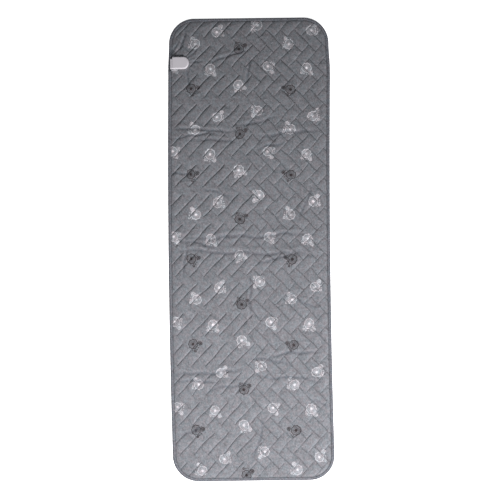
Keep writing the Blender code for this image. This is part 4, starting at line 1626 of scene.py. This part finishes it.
    def stitch(self, fold: Fold) -> None:
        """Make the row of stitches along a stretch of tape.

        Args:
            fold: the stretch.
        """
        long, wide, tall = 0.0022, 0.0007, 0.0005
        turns = np.linspace(0, 2 * math.pi, 8, endpoint=False)
        foot = np.stack([long * np.cos(turns), wide * np.sin(turns), 0 * turns], 1)
        knob = np.vstack([foot, foot * (0.6, 0.6, 0) + (0, 0, tall * 0.8), (0, 0, tall)])
        fan = [(k, (k + 1) % 8, 8 + (k + 1) % 8) for k in range(8)]
        fan += [(k, 8 + (k + 1) % 8, 8 + k) for k in range(8)]
        fan += [(8 + k, 8 + (k + 1) % 8, 16) for k in range(8)]
        points, faces, track = [], [], []
        for run in self.stations(fold, self.stitch_pitch, False):
            tall_share = self.tops(run)
            for row, share in zip(run, tall_share):
                x, y, in_x, in_y, s = row
                line_x, line_y = x + in_x * self.stitch_line, y + in_y * self.stitch_line
                centre = np.array([line_x, line_y, self.top * share - self.stitch_sink])
                along, inward = np.array([-in_y, in_x, 0.0]), np.array([in_x, in_y, 0.0])
                placed = centre + knob[:, 0:1] * along + knob[:, 1:2] * inward
                placed = placed + knob[:, 2:3] * np.array([0, 0, 1.0])
                faces.append(np.array(fan) + len(knob) * len(points))
                points.append(placed)
                track.append(np.full(len(knob), s))
        rest = np.concatenate(points)
        placed = np.stack([self.mat.laid(rest[:, 0], rest[:, 1]), rest[:, 1], rest[:, 2]], 1)
        name = "stitches_" + fold.name
        made = make_mesh(name, placed, np.concatenate(faces), rest, {"track": np.concatenate(track)})
        made.data.materials.append(THREAD.material())
        fold.bend(made)
        self.stitches[fold.name] = made
        LOG.info("%s: %d faces", name, len(made.data.polygons))


@dataclass
class SocketHousing:
    """The CAD housing and electrical parts with their finishes.

    Attributes:
        nodes: the CAD nodes.
    """

    nodes: dict[str, bpy.types.Object]

    def dress(self) -> None:
        """Give each shown CAD node its finish."""
        for name, node in self.nodes.items():
            if node.hide_render:
                continue
            finish = next(CAD_FINISHES[stem] for stem in CAD_FINISHES if name.startswith(stem))
            node.data.materials.clear()
            node.data.materials.append(finish.material())
            LOG.info("%s: %s", name, finish.name)


@dataclass(frozen=True)
class Studio:
    """Camera, lights and floor.

    Attributes:
        height: the camera's height.
        lens: its focal length in millimetres.
        roll: its turn about the vertical, in radians.
        centre: the place on the mat that it stands over.
        floor_reach: how far the floor reaches each way.
        floor_drop: how far the floor lies under the mat.
        floor_glow: how strongly the floor gives its own light.
        world: the strength of the light from all round.
    """

    height: float = 4.595
    lens: float = 85.0
    roll: float = -0.0117
    centre: tuple[float, float] = (-0.0045, -0.0019)
    floor_reach: float = 60.0
    floor_drop: float = 0.0006
    floor_glow: float = 0.93
    world: float = 0.155

    def build(self) -> None:
        """Set the studio up."""
        scene = bpy.context.scene
        scene.view_settings.view_transform = "Standard"
        camera = bpy.data.objects.new("camera", bpy.data.cameras.new("camera"))
        camera.data.lens = self.lens
        camera.data.sensor_width = 36.0
        camera.location = (*self.centre, self.height)
        camera.rotation_euler = (0.0, 0.0, self.roll)
        scene.collection.objects.link(camera)
        scene.camera = camera
        self.floor()
        self.panel("key", (2.2, -1.8, 1.5), 0.6, 190.0)
        self.panel("fill", (-0.5, -0.9, 1.6), 0.8, 39.0)
        world = bpy.data.worlds.new("studio")
        world.use_nodes = True
        world.node_tree.nodes["Background"].inputs["Color"].default_value = (0.90, 0.96, 1.0, 1.0)
        world.node_tree.nodes["Background"].inputs["Strength"].default_value = self.world
        scene.world = world

    def floor(self) -> None:
        """Lay a plain white floor that shows hardly any shadow."""
        mesh = bpy.data.meshes.new("floor")
        reach, drop = self.floor_reach, -self.floor_drop
        corners = [(-reach, -reach, drop), (reach, -reach, drop), (reach, reach, drop), (-reach, reach, drop)]
        mesh.from_pydata(corners, [], [(0, 1, 2, 3)])
        plane = bpy.data.objects.new("floor", mesh)
        bpy.context.scene.collection.objects.link(plane)
        material = bpy.data.materials.new("floor")
        material.use_nodes = True
        shader = material.node_tree.nodes["Principled BSDF"]
        shader.inputs["Base Color"].default_value = (0.9, 0.9, 0.9, 1.0)
        shader.inputs["Roughness"].default_value = 0.9
        shader.inputs["Specular IOR Level"].default_value = 0.0
        shader.inputs["Emission Color"].default_value = (1.0, 1.0, 1.0, 1.0)
        shader.inputs["Emission Strength"].default_value = self.floor_glow
        mesh.materials.append(material)

    def panel(self, name: str, place: Place, size: float, power: float) -> None:
        """Add a soft light panel that faces the mat.

        Args:
            name: its name.
            place: where it stands.
            size: its side.
            power: its power in watts.
        """
        light = bpy.data.lights.new(name, "AREA")
        light.energy = power
        light.size = size
        light.color = (1.0, 0.965, 0.965)
        self.aim(bpy.data.objects.new(name, light), place, (0.0, place[1] * 0.35, 0.0))

    def aim(self, thing: bpy.types.Object, place: Place, target: Place) -> None:
        """Place a light and turn it to a target.

        Args:
            thing: the light.
            place: where it stands.
            target: what it faces.
        """
        thing.location = place
        thing.rotation_euler = (Vector(target) - Vector(place)).to_track_quat("-Z", "Y").to_euler()
        bpy.context.scene.collection.objects.link(thing)


def main() -> None:
    """Build the visual model and the studio."""
    logging.basicConfig(level=logging.INFO, format="%(message)s")
    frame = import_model()
    housing = Housing.from_frame()
    QuiltedCover(housing).build()
    tape = EdgeTape(housing)
    tape.build()
    underside = Underside(housing)
    underside.build()
    underside.declare(tape)
    SocketHousing(frame["nodes"]).dress()
    Studio().build()


if __name__ == "__main__":
    main()
